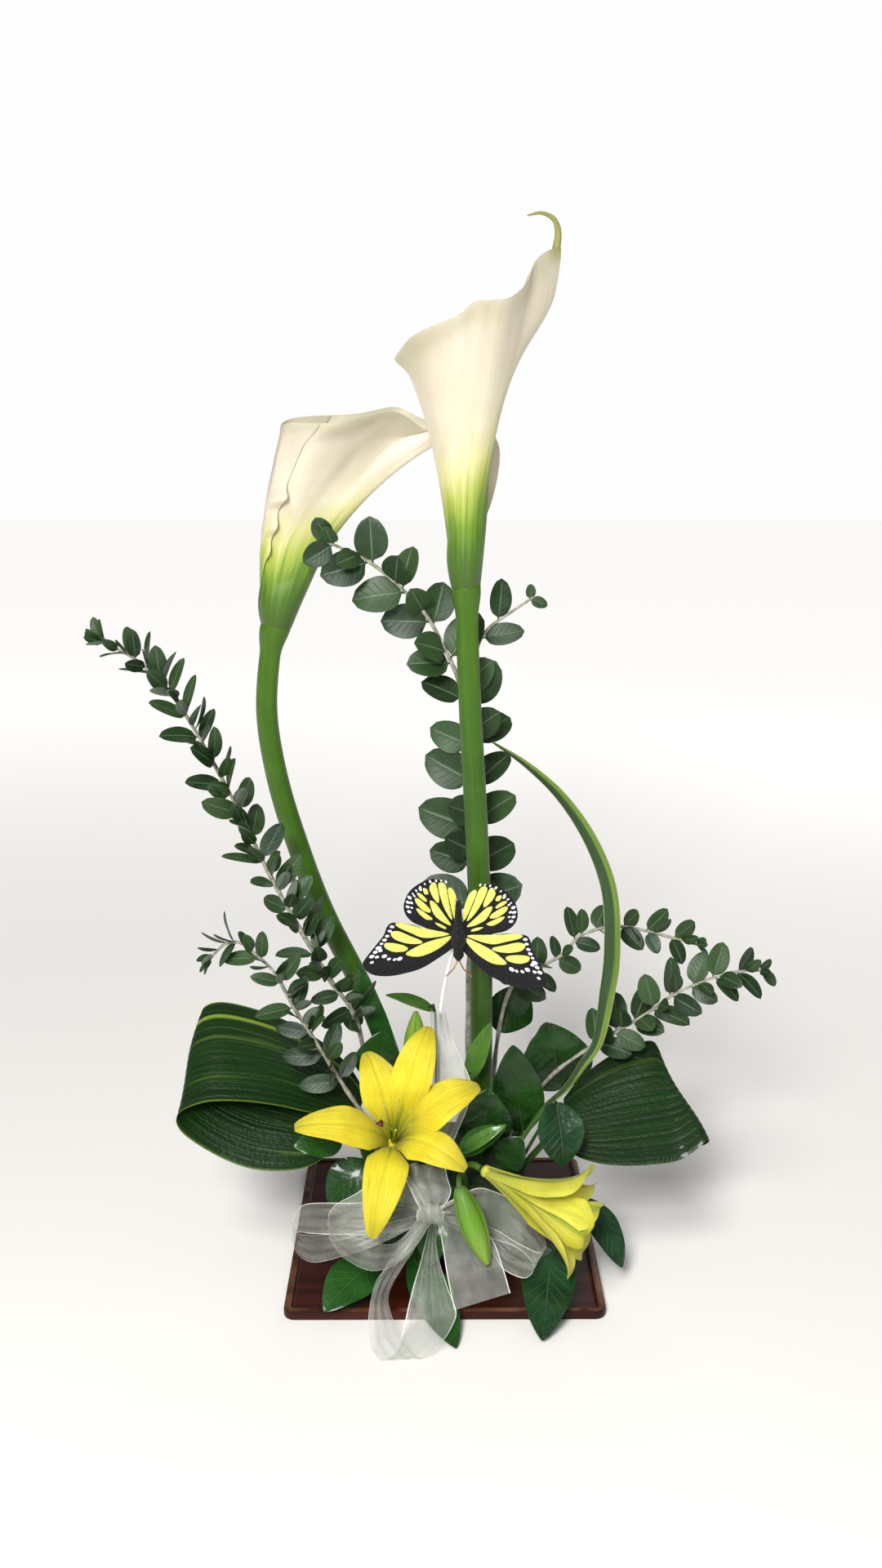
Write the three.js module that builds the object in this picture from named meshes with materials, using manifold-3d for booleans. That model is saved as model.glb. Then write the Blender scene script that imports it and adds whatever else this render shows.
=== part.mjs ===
// Calla lily arrangement: two cut calla lilies standing in a block of flower foam on a low square dish,
// with yellow lilies, leafy sprays, looped broad leaves, a sheer ribbon bow and a butterfly on a stick.
// Millimetres, +Z up, the dish's underside on z = 0 and its centre on the Z axis; the front faces -Y.
import * as THREE from "three";
import { mergeVertices } from "three/addons/utils/BufferGeometryUtils.js";
import Module from "manifold-3d";

const wasm = await Module();
wasm.setup();

// ---- Driving dimensions ----
const GAP = 0.35; // clearance between touching pieces
const DISH = { side: 200, height: 6, corner: 7, rim: 5, recess: 1.2 };
const DISH_FLOOR = DISH.height - DISH.recess;
const FOAM = { width: 104, depth: 80, height: 59, base: DISH_FLOOR + GAP };
const SPATHE_THICKNESS = 1.2;
const TOLERANCE = 0.12; // edges of joined solids that matter less than this are merged away
const SHORTEST = 0.03; // an edge shorter than this, as joins leave between close corners, is collapsed
const SCRAP = 1; // mm3: a loose scrap left by a cut or a join, which is dropped
const OVERLAP = 0.11; // how far each margin of the rolled spathe runs past the seam, in half turns
const ROLL_STEP = 1.15; // how far the outer margin stands off, and the inner one in, at the seam
const PETAL_THICKNESS = 0.9;
const LEAF_THICKNESS = 0.8;
const TWIG_LEAF_THICKNESS = 1.3; // at the rib of a small leaf, which thins to its margin
const RIBBON_THICKNESS = 0.6;

const green = (r, g, b) =>
  new THREE.MeshStandardMaterial({ color: new THREE.Color(r, g, b), roughness: 0.5 });
const MATERIALS = {
  dish: new THREE.MeshStandardMaterial({ color: 0x2c1812, roughness: 0.45 }),
  foam: green(0.1, 0.25, 0.1),
  stem: green(0.1, 0.28, 0.03),
  spathe: new THREE.MeshStandardMaterial({ color: 0xf2ead2, roughness: 0.5 }),
  spadix: new THREE.MeshStandardMaterial({ color: 0xe8b51e, roughness: 0.8 }),
  petal: new THREE.MeshStandardMaterial({ color: 0xf0d51c, roughness: 0.5 }),
  style: green(0.45, 0.6, 0.15),
  spray: green(0.1, 0.2, 0.11),
  leaf: green(0.03, 0.16, 0.03),
  ribbon: new THREE.MeshStandardMaterial({ color: 0xd5d6cf, roughness: 0.4 }),
  wing: new THREE.MeshStandardMaterial({ color: 0xdfe055, roughness: 0.7 }),
  body: new THREE.MeshStandardMaterial({ color: 0x14141a, roughness: 0.8 }),
  stick: new THREE.MeshStandardMaterial({ color: 0xf2f2f0, roughness: 0.5 }),
};

// ---- Small tools ----
const vec = ([x, y, z]) => new THREE.Vector3(x, y, z);
const mix = (a, b, t) => a + (b - a) * t;
// A repeatable scatter from -1 to 1 for whole numbers i and k.
const scatter = (i, k) => {
  const x = Math.sin(i * 12.9898 + k * 78.233) * 43758.5453;
  return 2 * (x - Math.floor(x)) - 1;
};
const curveOf = (points) => new THREE.CatmullRomCurve3(points.map(vec), false, "catmullrom", 0.5);

function geometryOf(positions, triangles) {
  const g = new THREE.BufferGeometry();
  g.setAttribute("position", new THREE.Float32BufferAttribute(positions, 3));
  g.setIndex(triangles);
  g.computeVertexNormals();
  return g;
}

// A thin sheet whose middle surface is point(s, t), with s from 0 to 1 along it and t from -1 to 1 across.
function sheet(point, rows, columns, thickness) {
  const grid = [];
  for (let i = 0; i <= rows; i++) {
    grid.push([]);
    for (let j = 0; j <= columns; j++) grid[i].push(point(i / rows, (2 * j) / columns - 1));
  }
  const positions = [];
  for (const side of [0.5, -0.5])
    for (let i = 0; i <= rows; i++)
      for (let j = 0; j <= columns; j++) {
        const along = grid[Math.min(i + 1, rows)][j].clone().sub(grid[Math.max(i - 1, 0)][j]);
        const across = grid[i][Math.min(j + 1, columns)].clone().sub(grid[i][Math.max(j - 1, 0)]);
        const normal = along.cross(across).normalize();
        positions.push(...grid[i][j].clone().addScaledVector(normal, side * thickness));
      }
  const at = (face, i, j) => (face * (rows + 1) + i) * (columns + 1) + j;
  const triangles = [];
  const wall = (a, b, c, d) => triangles.push(a, b, c, a, c, d);
  for (let i = 0; i < rows; i++)
    for (let j = 0; j < columns; j++) {
      triangles.push(at(0, i, j), at(0, i + 1, j), at(0, i + 1, j + 1));
      triangles.push(at(0, i, j), at(0, i + 1, j + 1), at(0, i, j + 1));
      triangles.push(at(1, i, j), at(1, i + 1, j + 1), at(1, i + 1, j));
      triangles.push(at(1, i, j), at(1, i, j + 1), at(1, i + 1, j + 1));
    }
  for (let j = 0; j < columns; j++) {
    wall(at(0, 0, j), at(0, 0, j + 1), at(1, 0, j + 1), at(1, 0, j));
    wall(at(0, rows, j + 1), at(0, rows, j), at(1, rows, j), at(1, rows, j + 1));
  }
  for (let i = 0; i < rows; i++) {
    wall(at(0, i + 1, 0), at(0, i, 0), at(1, i, 0), at(1, i + 1, 0));
    wall(at(0, i, columns), at(0, i + 1, columns), at(1, i + 1, columns), at(1, i, columns));
  }
  return geometryOf(positions, triangles);
}

// A round stem along a curve. radius(u) is its radius at u from 0 to 1; grow makes its plain hole.
function tube(curve, radius, sides, steps, grow = 0) {
  const frames = curve.computeFrenetFrames(steps, false);
  const positions = [];
  for (let i = 0; i <= steps; i++) {
    const centre = curve.getPointAt(i / steps);
    if (i === 0) centre.addScaledVector(frames.tangents[0], -grow);
    for (let k = 0; k < sides; k++) {
      const angle = (2 * Math.PI * k) / sides;
      const out = frames.normals[i].clone().multiplyScalar(Math.cos(angle));
      out.addScaledVector(frames.binormals[i], Math.sin(angle));
      positions.push(...centre.clone().addScaledVector(out, radius(i / steps) + grow));
    }
  }
  const first = positions.length / 3;
  positions.push(...curve.getPointAt(0).addScaledVector(frames.tangents[0], -grow), ...curve.getPointAt(1));
  const triangles = [];
  for (let k = 0; k < sides; k++) {
    const next = (k + 1) % sides;
    for (let i = 0; i < steps; i++) {
      const [a, b, c, d] = [i * sides + k, i * sides + next, (i + 1) * sides + next, (i + 1) * sides + k];
      triangles.push(a, b, c, a, c, d);
    }
    triangles.push(first, next, k, first + 1, steps * sides + k, steps * sides + next);
  }
  return geometryOf(positions, triangles);
}

// A small leaf of few faces, thick at its rib: root at the origin, rib along +X, upper face towards +Z.
function twigLeaf(length, width, stations, fold, curl) {
  const positions = [0, 0, 0, length, 0, -curl * length];
  const triangles = [];
  const at = (k, n) => 2 + (k - 1) * 4 + n; // n: 0 left margin, 1 right margin, 2 rib above, 3 rib below
  for (let k = 1; k < stations; k++) {
    const s = k / stations;
    const half = (width / 2) * Math.pow(Math.sin(Math.PI * Math.pow(s, 0.85)), 0.7);
    const z = -curl * length * s * s;
    positions.push(s * length, half, z + fold * half, s * length, -half, z + fold * half);
    positions.push(s * length, 0, z + TWIG_LEAF_THICKNESS / 2, s * length, 0, z - TWIG_LEAF_THICKNESS / 2);
  }
  const quad = (a, b, c, d) => triangles.push(a, b, c, a, c, d);
  triangles.push(0, at(1, 2), at(1, 0), 0, at(1, 1), at(1, 2), 0, at(1, 0), at(1, 3), 0, at(1, 3), at(1, 1));
  for (let k = 1; k < stations - 1; k++) {
    quad(at(k, 2), at(k + 1, 2), at(k + 1, 0), at(k, 0));
    quad(at(k, 1), at(k + 1, 1), at(k + 1, 2), at(k, 2));
    quad(at(k, 0), at(k + 1, 0), at(k + 1, 3), at(k, 3));
    quad(at(k, 3), at(k + 1, 3), at(k + 1, 1), at(k, 1));
  }
  const end = stations - 1;
  triangles.push(1, at(end, 0), at(end, 2), 1, at(end, 2), at(end, 1));
  triangles.push(1, at(end, 3), at(end, 0), 1, at(end, 1), at(end, 3));
  return geometryOf(positions, triangles);
}

// Solids for cutting and joining.
function solidOf(geometry) {
  const bare = geometry.clone();
  bare.deleteAttribute("normal");
  bare.deleteAttribute("uv");
  const merged = mergeVertices(bare, 1e-4);
  return new wasm.Manifold(
    new wasm.Mesh({
      numProp: 3,
      vertProperties: merged.attributes.position.array,
      triVerts: new Uint32Array(merged.index.array),
    })
  );
}

// The faces of a solid, with both ends of every edge shorter than SHORTEST brought to one of them.
function geometryFrom(solid) {
  const { vertProperties, triVerts, numVert, numProp } = solid.getMesh();
  const corners = Array.from({ length: numVert }, (_, i) => vec(vertProperties.slice(i * numProp)));
  const heir = corners.map((_, i) => i);
  const find = (i) => (heir[i] === i ? i : find(heir[i]));
  triVerts.forEach((start, n) => {
    const [a, b] = [find(start), find(triVerts[n % 3 === 2 ? n - 2 : n + 1])];
    if (a !== b && corners[a].distanceTo(corners[b]) < SHORTEST) heir[Math.max(a, b)] = Math.min(a, b);
  });
  const triangles = [];
  for (let n = 0; n < triVerts.length; n += 3) {
    const [a, b, c] = [find(triVerts[n]), find(triVerts[n + 1]), find(triVerts[n + 2])];
    if (a !== b && b !== c && c !== a) triangles.push(a, b, c);
  }
  return geometryOf(corners.flatMap((corner) => corner.toArray()), triangles);
}

// A joined or cut solid, tidied: needless edges merged away and loose scraps dropped.
function whole(solid) {
  const bodies = solid.simplify(TOLERANCE).decompose();
  return geometryFrom(wasm.Manifold.compose(bodies.filter((body) => body.volume() > SCRAP)));
}
const join = (...parts) => whole(parts.map(solidOf).reduce((a, b) => a.add(b)));
const cut = (part, tools) => whole(tools.map(solidOf).reduce((a, b) => a.subtract(b), solidOf(part)));

// ---- The part ----
const arrangement = new THREE.Group();
const holes = []; // the plain holes of the foam, one for each stalk pushed into it
function add(name, geometry, material) {
  const mesh = new THREE.Mesh(geometry, MATERIALS[material]);
  mesh.name = name;
  arrangement.add(mesh);
}

// A stalk that stands in the foam with its first point, which also makes its hole.
function stalk(points, radius, sides, steps) {
  const curve = curveOf(points);
  holes.push(tube(curve, radius, sides, steps, GAP));
  return tube(curve, radius, sides, steps);
}

// A strip drawn by its two edges, with so many rows for each stretch between their points.
function strip([first, second], rows, columns, thickness) {
  const edges = [curveOf(first), curveOf(second)];
  const point = (s, t) => edges[0].getPoint(s).lerp(edges[1].getPoint(s), (t + 1) / 2);
  return sheet(point, (first.length - 1) * rows, columns, thickness);
}

// ---- Dish and foam ----
function roundedSquare(side, corner) {
  const h = side / 2;
  const shape = new THREE.Shape();
  [
    [h - corner, -h + corner, -Math.PI / 2],
    [h - corner, h - corner, 0],
    [-h + corner, h - corner, Math.PI / 2],
    [-h + corner, -h + corner, Math.PI],
  ].forEach(([x, y, start]) => shape.absarc(x, y, corner, start, start + Math.PI / 2, false));
  shape.closePath();
  return shape;
}

function dish() {
  const options = (depth) => ({ depth, bevelEnabled: false, curveSegments: 3 });
  const slab = new THREE.ExtrudeGeometry(roundedSquare(DISH.side, DISH.corner), options(DISH.height));
  const inner = roundedSquare(DISH.side - 2 * DISH.rim, DISH.corner - DISH.rim / 2);
  const recess = new THREE.ExtrudeGeometry(inner, options(DISH.height)).translate(0, 0, DISH_FLOOR);
  return cut(slab, [recess]);
}

// ---- Calla lilies ----
// Each flower: the stalk's path from the foam up; the spathe's foot radius round the top of the stalk;
// its rim from the seam side round to the tip, and its curled tail, both measured from base (x towards
// the tip, y to one side, z up); tipLow and tipHigh, which bend the tip's rib, and tipShare, how closely
// they keep to that rib; roll, which margin laps over the other; the spadix's length, tilt and distance from
// the top of the stalk.
const CALLAS = {
  calla_tall: {
    path: [[25, 0, 14], [25.5, 0, 66], [25, 0, 130], [24, 0, 215], [20.5, 0, 295], [16, 0, 375],
      [13.5, 0, 447]],
    radius: [7.6, 7.0],
    base: [13.5, 0, 443],
    foot: 8.95,
    rim: [[-37, 0, 134], [-27, 20, 145], [-16, 31, 151], [-5, 37, 156], [4, 38, 163], [13, 36, 164],
      [23, 33, 166], [33, 25, 175], [37, 18, 185], [42, 11, 192], [52, 0, 198]],
    tipLow: [12, 170],
    tipHigh: [57, 130],
    tipShare: 6,
    tail: [[51, 0, 190], [53, 0, 203], [50.5, -1, 211], [43, -2, 214.5], [34.5, -3, 213]],
    roll: -1,
    spadix: 78,
    tilt: 0,
    seat: GAP,
  },
  calla_short: {
    path: [[-19, 19, 14], [-24, 21, 62], [-35, 25, 114], [-52, 29, 162], [-80, 33, 220], [-98, 36, 270],
      [-110, 38, 314], [-115.5, 39, 357], [-111.5, 40, 400], [-106, 40, 418]],
    radius: [7.6, 6.9],
    base: [-107.6, 40, 414],
    foot: 9.6,
    rim: [[6, 0, 124], [8, 12, 125], [15, 21, 128], [36, 30, 131], [56, 31, 133], [75, 24, 135],
      [86, 15, 133], [97, 8, 128], [110, 7, 127], [122, 8, 122], [131, 9, 110], [132, 9, 94],
      [131, 6, 80], [130, 0, 66]],
    tipLow: [40, 105],
    tipHigh: [180, 175],
    tipShare: 3,
    tail: [[130, 0, 72], [128.5, 0, 64], [126, -1, 59]],
    roll: 1,
    spadix: 66,
    tilt: 0.29,
    seat: 0.8,
  },
};
const SPATHE_TUBE = 12.2; // radius of a spathe's tube above its foot
const SPADIX = { foot: 3.4, radius: 4.2, shoulder: 3.2 };

// The middle surface of a spathe. turn runs from -1 at one margin, over 0 at the tip's rib, to 1 at the
// other; each rib is a Bezier curve from the base ring, up the tube, to the rim.
function spathePoint(flower, rimCurve, s, turn) {
  const angle = turn * (1 + OVERLAP) * Math.PI;
  const offset = (flower.roll * ROLL_STEP * angle) / Math.PI;
  const folded = Math.abs(angle) > Math.PI ? 2 * Math.PI - Math.abs(angle) : Math.abs(angle);
  const side = Math.sin(angle) < 0 ? -1 : 1;
  const rim = rimCurve.getPoint(1 - folded / Math.PI);
  const tip = Math.pow((1 + Math.cos(angle)) / 2, flower.tipShare);
  const out = new THREE.Vector3(Math.cos(angle), Math.sin(angle), 0);
  const ring = out.clone().multiplyScalar(flower.foot + offset).setZ(-3);
  const end = new THREE.Vector3(rim.x, rim.y * side, rim.z).addScaledVector(out, offset);
  const low = out.clone().multiplyScalar(SPATHE_TUBE + offset).setZ(0.42 * rim.z);
  low.lerp(new THREE.Vector3(flower.tipLow[0], low.y, flower.tipLow[1]), tip);
  const high = new THREE.Vector3(rim.x * 0.5, rim.y * side * 0.5, rim.z * 0.78);
  high.addScaledVector(out, 4 + offset);
  high.lerp(new THREE.Vector3(flower.tipHigh[0], end.y * 0.5, flower.tipHigh[1]), tip);
  const bulge = out.clone().multiplyScalar(1.6 * Math.sin(Math.PI * Math.min(1, s * 6)));
  return new THREE.CubicBezierCurve3(ring, low, high, end).getPoint(s).add(bulge).add(vec(flower.base));
}

function calla(name, flower) {
  const radius = (u) => mix(...flower.radius, u);
  add(name + "_stalk", stalk(flower.path, radius, 8, 14), "stem");
  const rimCurve = curveOf(flower.rim);
  const funnel = sheet((s, t) => spathePoint(flower, rimCurve, s, t), 9, 20, SPATHE_THICKNESS);
  const tailPath = curveOf(flower.tail.map((p) => p.map((x, i) => x + flower.base[i])));
  const tail = tube(tailPath, (u) => mix(2.2, 0.6, u), 5, 6);
  add(name + "_spathe", join(funnel, tail), "spathe");
  const [x, y, top] = flower.path.at(-1);
  const profile = [[0, 0], [SPADIX.foot, 0], [SPADIX.radius, 0.08], [SPADIX.radius, 0.6],
    [SPADIX.shoulder, 0.92], [0, 1]].map(([r, share]) => new THREE.Vector2(r, share * flower.spadix));
  const finger = join(new THREE.LatheGeometry(profile, 8).rotateX(Math.PI / 2));
  add(name + "_spadix", finger.rotateY(flower.tilt).translate(x, y, top + flower.seat), "spadix");
}

// ---- Leafy sprays ----
// Each: the twig's path and radius; the pairs of leaves, from where on the twig, their length at first and
// at last, how slim they are and how far they spread, both ways; face, the way they turn; swirl, how far
// they may leave that plane; and the stations of a leaf.
const TWIG_STEPS = 15;
const SPRAYS = {
  spray_left_tall: {
    path: [[-33, -3, 36], [-41, 1, 66], [-50, 4, 110], [-58, -4, 160], [-75, -16, 194],
      [-107, -20, 257], [-132, -16, 311], [-162, -12, 367], [-186, -10, 395], [-214, -10, 411]],
    radius: [2.0, 0.9], pairs: 19, from: 0.27, size: [24, 27], slim: 0.47, spread: [62, 48],
    face: [0.2, -0.8, 0.55], swirl: 75, stations: 3,
  },
  spray_left_low: {
    path: [[-40, -12, 38], [-44, -22, 74], [-51, -32, 102], [-62, -38, 124], [-80, -41, 157],
      [-94, -44, 183], [-105, -45, 206], [-116, -45, 218], [-126, -44, 226], [-136, -43, 225],
      [-147, -43, 214]],
    radius: [1.8, 0.9], pairs: 8, from: 0.42, size: [25, 20], slim: 0.45, spread: [65, 50],
    face: [-0.1, -0.8, 0.6], swirl: 40, stations: 3,
  },
  spray_centre: {
    path: [[18, 26, 36], [17, 29, 110], [17, 30, 173], [19, 31, 243], [20, 31, 287], [18.5, 31, 331],
      [11, 30, 372], [4.5, 29, 391], [-12, 26, 422], [-33, 21, 444], [-50, 18, 457], [-75, 13, 469]],
    radius: [2.2, 1.0], pairs: 11, from: 0.4, size: [31, 28], slim: 0.66, spread: [68, 48],
    face: [0, -1, 0.15], swirl: 22, stations: 4,
  },
  spray_right_high: {
    path: [[33, 22, 36], [33, 22, 76], [36, 22, 130], [45, 18, 172], [63, 15, 187], [80, 17, 197],
      [92, 20, 209], [117, 22, 214], [145, 19, 209], [171, 14, 203]],
    radius: [1.8, 0.9], pairs: 9, from: 0.5, size: [22, 17], slim: 0.6, spread: [62, 50],
    face: [0, -0.8, 0.55], swirl: 45, stations: 3,
  },
  spray_right_low: {
    path: [[35, 0, 38], [45, -1, 78], [70, -3, 117], [100, -1, 140], [114, -3, 150], [132, -8, 164],
      [147, -12, 178], [161, -16, 187], [183, -20, 197], [205, -24, 200]],
    radius: [1.8, 0.8], pairs: 9, from: 0.5, size: [26, 19], slim: 0.6, spread: [58, 45],
    face: [-0.1, -0.85, 0.5], swirl: 35, stations: 4,
  },
};
// The side twig near the top of the centre spray, and its leaves as [u, side, length, width].
const SIDE_TWIG = {
  path: [[16, 31, 352], [20, 31, 392], [27, 30, 410], [41, 29, 421], [57, 28, 432]],
  leaves: [[0.56, 1, 28, 15], [0.72, -1, 27, 15], [0.97, 1, 12, 8], [0.97, -1, 10, 7]],
};

// The place of one leaf on a twig, whose tube has TWIG_STEPS straight runs: rib direction and upper face.
function leafPlace(curve, u, face, side, turn, spread, roll) {
  const step = Math.floor(u * TWIG_STEPS) / TWIG_STEPS;
  const next = curve.getPointAt(Math.min(1, step + 1 / TWIG_STEPS));
  const root = curve.getPointAt(step).lerp(next, (u - step) * TWIG_STEPS);
  const tangent = curve.getTangentAt(u).normalize();
  const front = vec(face).addScaledVector(tangent, -vec(face).dot(tangent)).normalize();
  const sideways = tangent.clone().cross(front);
  const away = sideways.multiplyScalar(side * Math.cos(turn)).addScaledVector(front, Math.sin(turn));
  const rib = tangent.clone().multiplyScalar(Math.cos(spread)).addScaledVector(away, Math.sin(spread));
  const normal = front.clone().multiplyScalar(0.8).addScaledVector(tangent, 0.45);
  normal.addScaledVector(rib, -normal.dot(rib)).normalize().applyAxisAngle(rib, roll);
  const across = normal.clone().cross(rib);
  return new THREE.Matrix4().makeBasis(rib, across, normal).setPosition(root);
}

const radians = THREE.MathUtils.degToRad;
function sprayLeaves(spec, seed) {
  const curve = curveOf(spec.path);
  const leaves = [];
  for (let i = 0; i < spec.pairs * 2; i++) {
    const pair = Math.floor(i / 2);
    const share = pair / (spec.pairs - 1);
    const u = mix(spec.from, 0.985, share) + (i % 2 ? 0.006 : 0);
    const length = mix(...spec.size, share) * (1 + 0.14 * scatter(i, seed));
    const turn = radians(spec.swirl * scatter(i, seed + 1));
    const spread = radians(mix(...spec.spread, share) + 8 * scatter(i, seed + 2));
    const roll = radians(25 * scatter(i, seed + 3));
    const place = leafPlace(curve, u, spec.face, i % 2 ? 1 : -1, turn, spread, roll);
    leaves.push(twigLeaf(length, length * spec.slim, spec.stations, 0.16, 0.1).applyMatrix4(place));
  }
  return leaves;
}

function spray(name, spec, seed) {
  const twig = stalk(spec.path, (u) => mix(...spec.radius, u), 4, TWIG_STEPS);
  const parts = [twig, ...sprayLeaves(spec, seed)];
  if (name === "spray_centre") {
    const curve = curveOf(SIDE_TWIG.path);
    parts.push(tube(curve, (u) => mix(1.3, 0.8, u), 4, TWIG_STEPS));
    for (const [u, side, length, width] of SIDE_TWIG.leaves) {
      const place = leafPlace(curve, u, [0, -1, 0.15], side, 0, radians(50), 0);
      parts.push(twigLeaf(length, width, 4, 0.16, 0.1).applyMatrix4(place));
    }
  }
  add(name, join(...parts), "spray");
}

// ---- Looped broad leaves ----
// Each runs out from its stalk, round the fold and back to its tucked tip: its back edge, its front edge.
const LOOPED = {
  looped_leaf_left: {
    stalk: [[-36, -30, 34], [-48, -29, 62], [-57, -23, 92], [-60, -17.5, 111.5]],
    edges: [
      [[-52.2, -8, 110.6], [-64.1, -2, 127.1], [-80.6, 4, 140.2], [-105.4, 12, 152.6], [-130.2, 16, 160.4],
        [-150.3, 16, 163.9], [-161.6, 14, 158.9], [-159.6, 8, 146.2], [-145.2, 0, 136.3], [-126.1, -4, 126.4],
        [-104.3, -8, 118.3], [-85.2, -14, 107.6], [-68.9, -20, 98.9]],
      [[-55.3, -24, 102.5], [-67.8, -36, 104.9], [-85.4, -44, 112.3], [-107.9, -50, 120.8],
        [-130.7, -52, 124.6], [-152.3, -52, 123.5], [-169, -50, 114.3], [-166.9, -50, 101.9],
        [-146.4, -52, 87.6], [-124.1, -54, 78.9], [-101, -52, 76.1], [-83.3, -46, 77.5], [-68.1, -36, 86.6]],
    ],
  },
  looped_leaf_right: {
    stalk: [[34, -20, 34], [50, -22, 60], [68, -24, 84], [80.7, -24.5, 101.8]],
    edges: [
      [[78.3, -18, 109.1], [86.3, -6, 113.4], [100.1, 4, 121.1], [117, 10, 129.6], [132.4, 12, 135.2],
        [140.7, 12, 135.7], [145, 10, 127.8], [144.5, 12, 120.4], [133.5, 15, 116.1], [116.9, 14, 110.1],
        [99.9, 8, 102.8], [85.6, 0, 91.7]],
      [[76.4, -30, 98.2], [81.7, -44, 84.6], [94.1, -52, 81.3], [110.3, -56, 80.5], [130, -56, 81],
        [150.9, -54, 83.9], [167.3, -50, 94.8], [167.7, -38, 85.9], [152.8, -28, 76.2], [129.8, -22, 70.2],
        [108.7, -18, 69.9], [87.2, -16, 73.1]],
    ],
  },
};

function loopedLeaf(name, spec) {
  const blade = strip(spec.edges, 2, 2, LEAF_THICKNESS);
  add(name, join(blade, stalk(spec.stalk, () => 2.2, 6, 4)), "leaf");
}

// ---- Arching grass leaf, folded along its rib ----
const GRASS = {
  path: [[38, -10, 42], [50, -22, 80], [65, -30, 108], [79, -31, 123], [89, -29, 138], [98, -26, 152],
    [104, -20, 180], [108, -14, 204], [108, -6, 236], [103, 2, 259], [91, 8, 284], [74, 12, 307],
    [53, 14, 326], [31, 14, 341]],
  half: 6.6,
  fold: 0.55,
};

function grassLeaf() {
  const curve = curveOf(GRASS.path);
  const point = (s, t) => {
    const u = mix(0.1, 1, s);
    const tangent = curve.getTangentAt(u);
    const out = new THREE.Vector3(0, 1, 0).cross(tangent).normalize();
    const half = GRASS.half * Math.max(0.12, Math.pow(Math.sin(Math.PI * mix(0.05, 0.985, s)), 0.75));
    const twist = -0.5 * Math.exp(-Math.pow((s - 0.3) / 0.12, 2)); // it turns a little where it stands up
    out.applyAxisAngle(tangent, twist);
    const normal = tangent.clone().cross(out).normalize();
    const lift = GRASS.fold * half * Math.abs(t);
    return curve.getPointAt(u).addScaledVector(out, half * t).addScaledVector(normal, lift);
  };
  const root = stalk(GRASS.path.slice(0, 3), () => 1.5, 5, 4);
  add("grass_leaf", join(sheet(point, 18, 2, LEAF_THICKNESS), root), "leaf");
}

// ---- Single leaves, each on its own stalk in the foam ----
// [root, bend, base of the blade, tip, the way the blade faces, width, droop]
const LEAVES = {
  leaf_behind_stem: [[30, 30, 40], [30, 31, 110], [33, 30.3, 160], [60, 30.3, 143], [0.1, -1, 0.2], 34, 0.05],
  leaf_right_round: [[44, 14, 40], [54, 15, 72], [80, 12, 102], [68, 10, 151], [0, -1, 0.35], 42, 0.1],
  leaf_right_dark: [[42, -10, 42], [48, -12, 64], [52, -14, 84], [45, -14, 145], [-0.1, -1, 0.2], 25, 0.06],
  leaf_right_glossy: [[38, -26, 46], [52, -38, 80], [70.5, -46, 119.6], [75, -60, 82.7], [0.1, -0.8, 0.6], 30,
    0.12],
  leaf_mid_dark: [[24, -24, 46], [24, -28, 64], [24.4, -32, 84], [28.3, -35, 124], [0, -0.9, 0.4], 28, 0.1],
  leaf_mid_deep: [[31, -30, 46], [34, -37, 60], [36.5, -41, 73], [50, -45, 95], [0, -0.8, 0.6], 16, 0.08],
  leaf_mid_low: [[-2, -26, 46], [0, -36, 66], [9, -45, 84], [39, -50, 104], [0, -0.6, 0.8], 17, 0.08],
  leaf_left_pale: [[-30, -34, 48], [-39, -42, 78], [-65, -58, 99], [-93.4, -72, 102.8], [0, -0.75, 0.65], 20,
    0.1],
  leaf_left_low: [[-40, -34, 40], [-46, -38, 58], [-48.4, -42, 75.3], [-74.7, -48, 51.5], [0, -0.8, 0.6], 30,
    0.1],
  leaf_left_back: [[-28, 0, 40], [-34, -4, 84], [-47, -12, 121], [-39.1, -16, 156], [0.1, -1, 0.2], 30, 0.08],
  leaf_left_tall: [[-24, 7, 44], [-27, 8, 84], [-33.6, 10, 123], [-58.1, 14, 192], [0, -1, 0.1], 14, 0.04],
  leaf_dish_left: [[-34, -30, 20], [-40, -46, 22], [-45, -65, 17], [-74, -105, 9.5], [0, -0.5, 0.85], 31,
    0.12],
  leaf_dish_front: [[-4, -30, 36], [-5, -46, 46], [-6.4, -64, 51], [-9.5, -76, 22.7], [0, -0.9, 0.4], 20, 0.06],
  leaf_dish_middle: [[-8, -30, 18], [-14, -48, 22], [-19, -64, 22], [6.3, -131, 1.8], [0, -0.2, 1], 27, 0.01],
  leaf_dish_right: [[36, -28, 20], [50, -42, 24], [68.8, -60, 26], [58.3, -124.9, 2.6], [0, -0.5, 0.86], 33,
    0.06],
  leaf_far_right: [[40, -20, 22], [64, -28, 40], [90, -42, 50], [113.7, -64, 13.8], [0.3, -0.7, 0.65], 21,
    0.12],
  leaf_back_left: [[-34, 24, 40], [-46, 40, 64], [-54, 50, 74], [-86, 66, 50], [-0.2, 0.6, 0.8], 32, 0.12],
  leaf_back_middle: [[-4, 28, 40], [-4, 46, 66], [-5, 56, 74], [-8, 84, 40], [0, 0.7, 0.75], 34, 0.12],
  leaf_back_right: [[32, 30, 38], [42, 46, 62], [50, 54, 70], [78, 72, 44], [0.2, 0.65, 0.75], 33, 0.12],
  lily_leaf_front: [[4, -30, 44], [7, -46, 70], [10, -56, 90], [38.9, -58, 110.4], [-0.2, -0.8, 0.6], 9, 0.1],
  lily_leaf_stem: [[16, -14, 44], [15, -17, 84], [15.5, -20, 123], [30.1, -21, 163.6], [-0.3, -1, 0.1], 13,
    0.05],
  lily_leaf_left: [[-6, -4, 44], [-5, -6, 110], [-6, -7, 166], [-38, -9, 178], [0, -0.6, 0.8], 9, 0.1],
};

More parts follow.
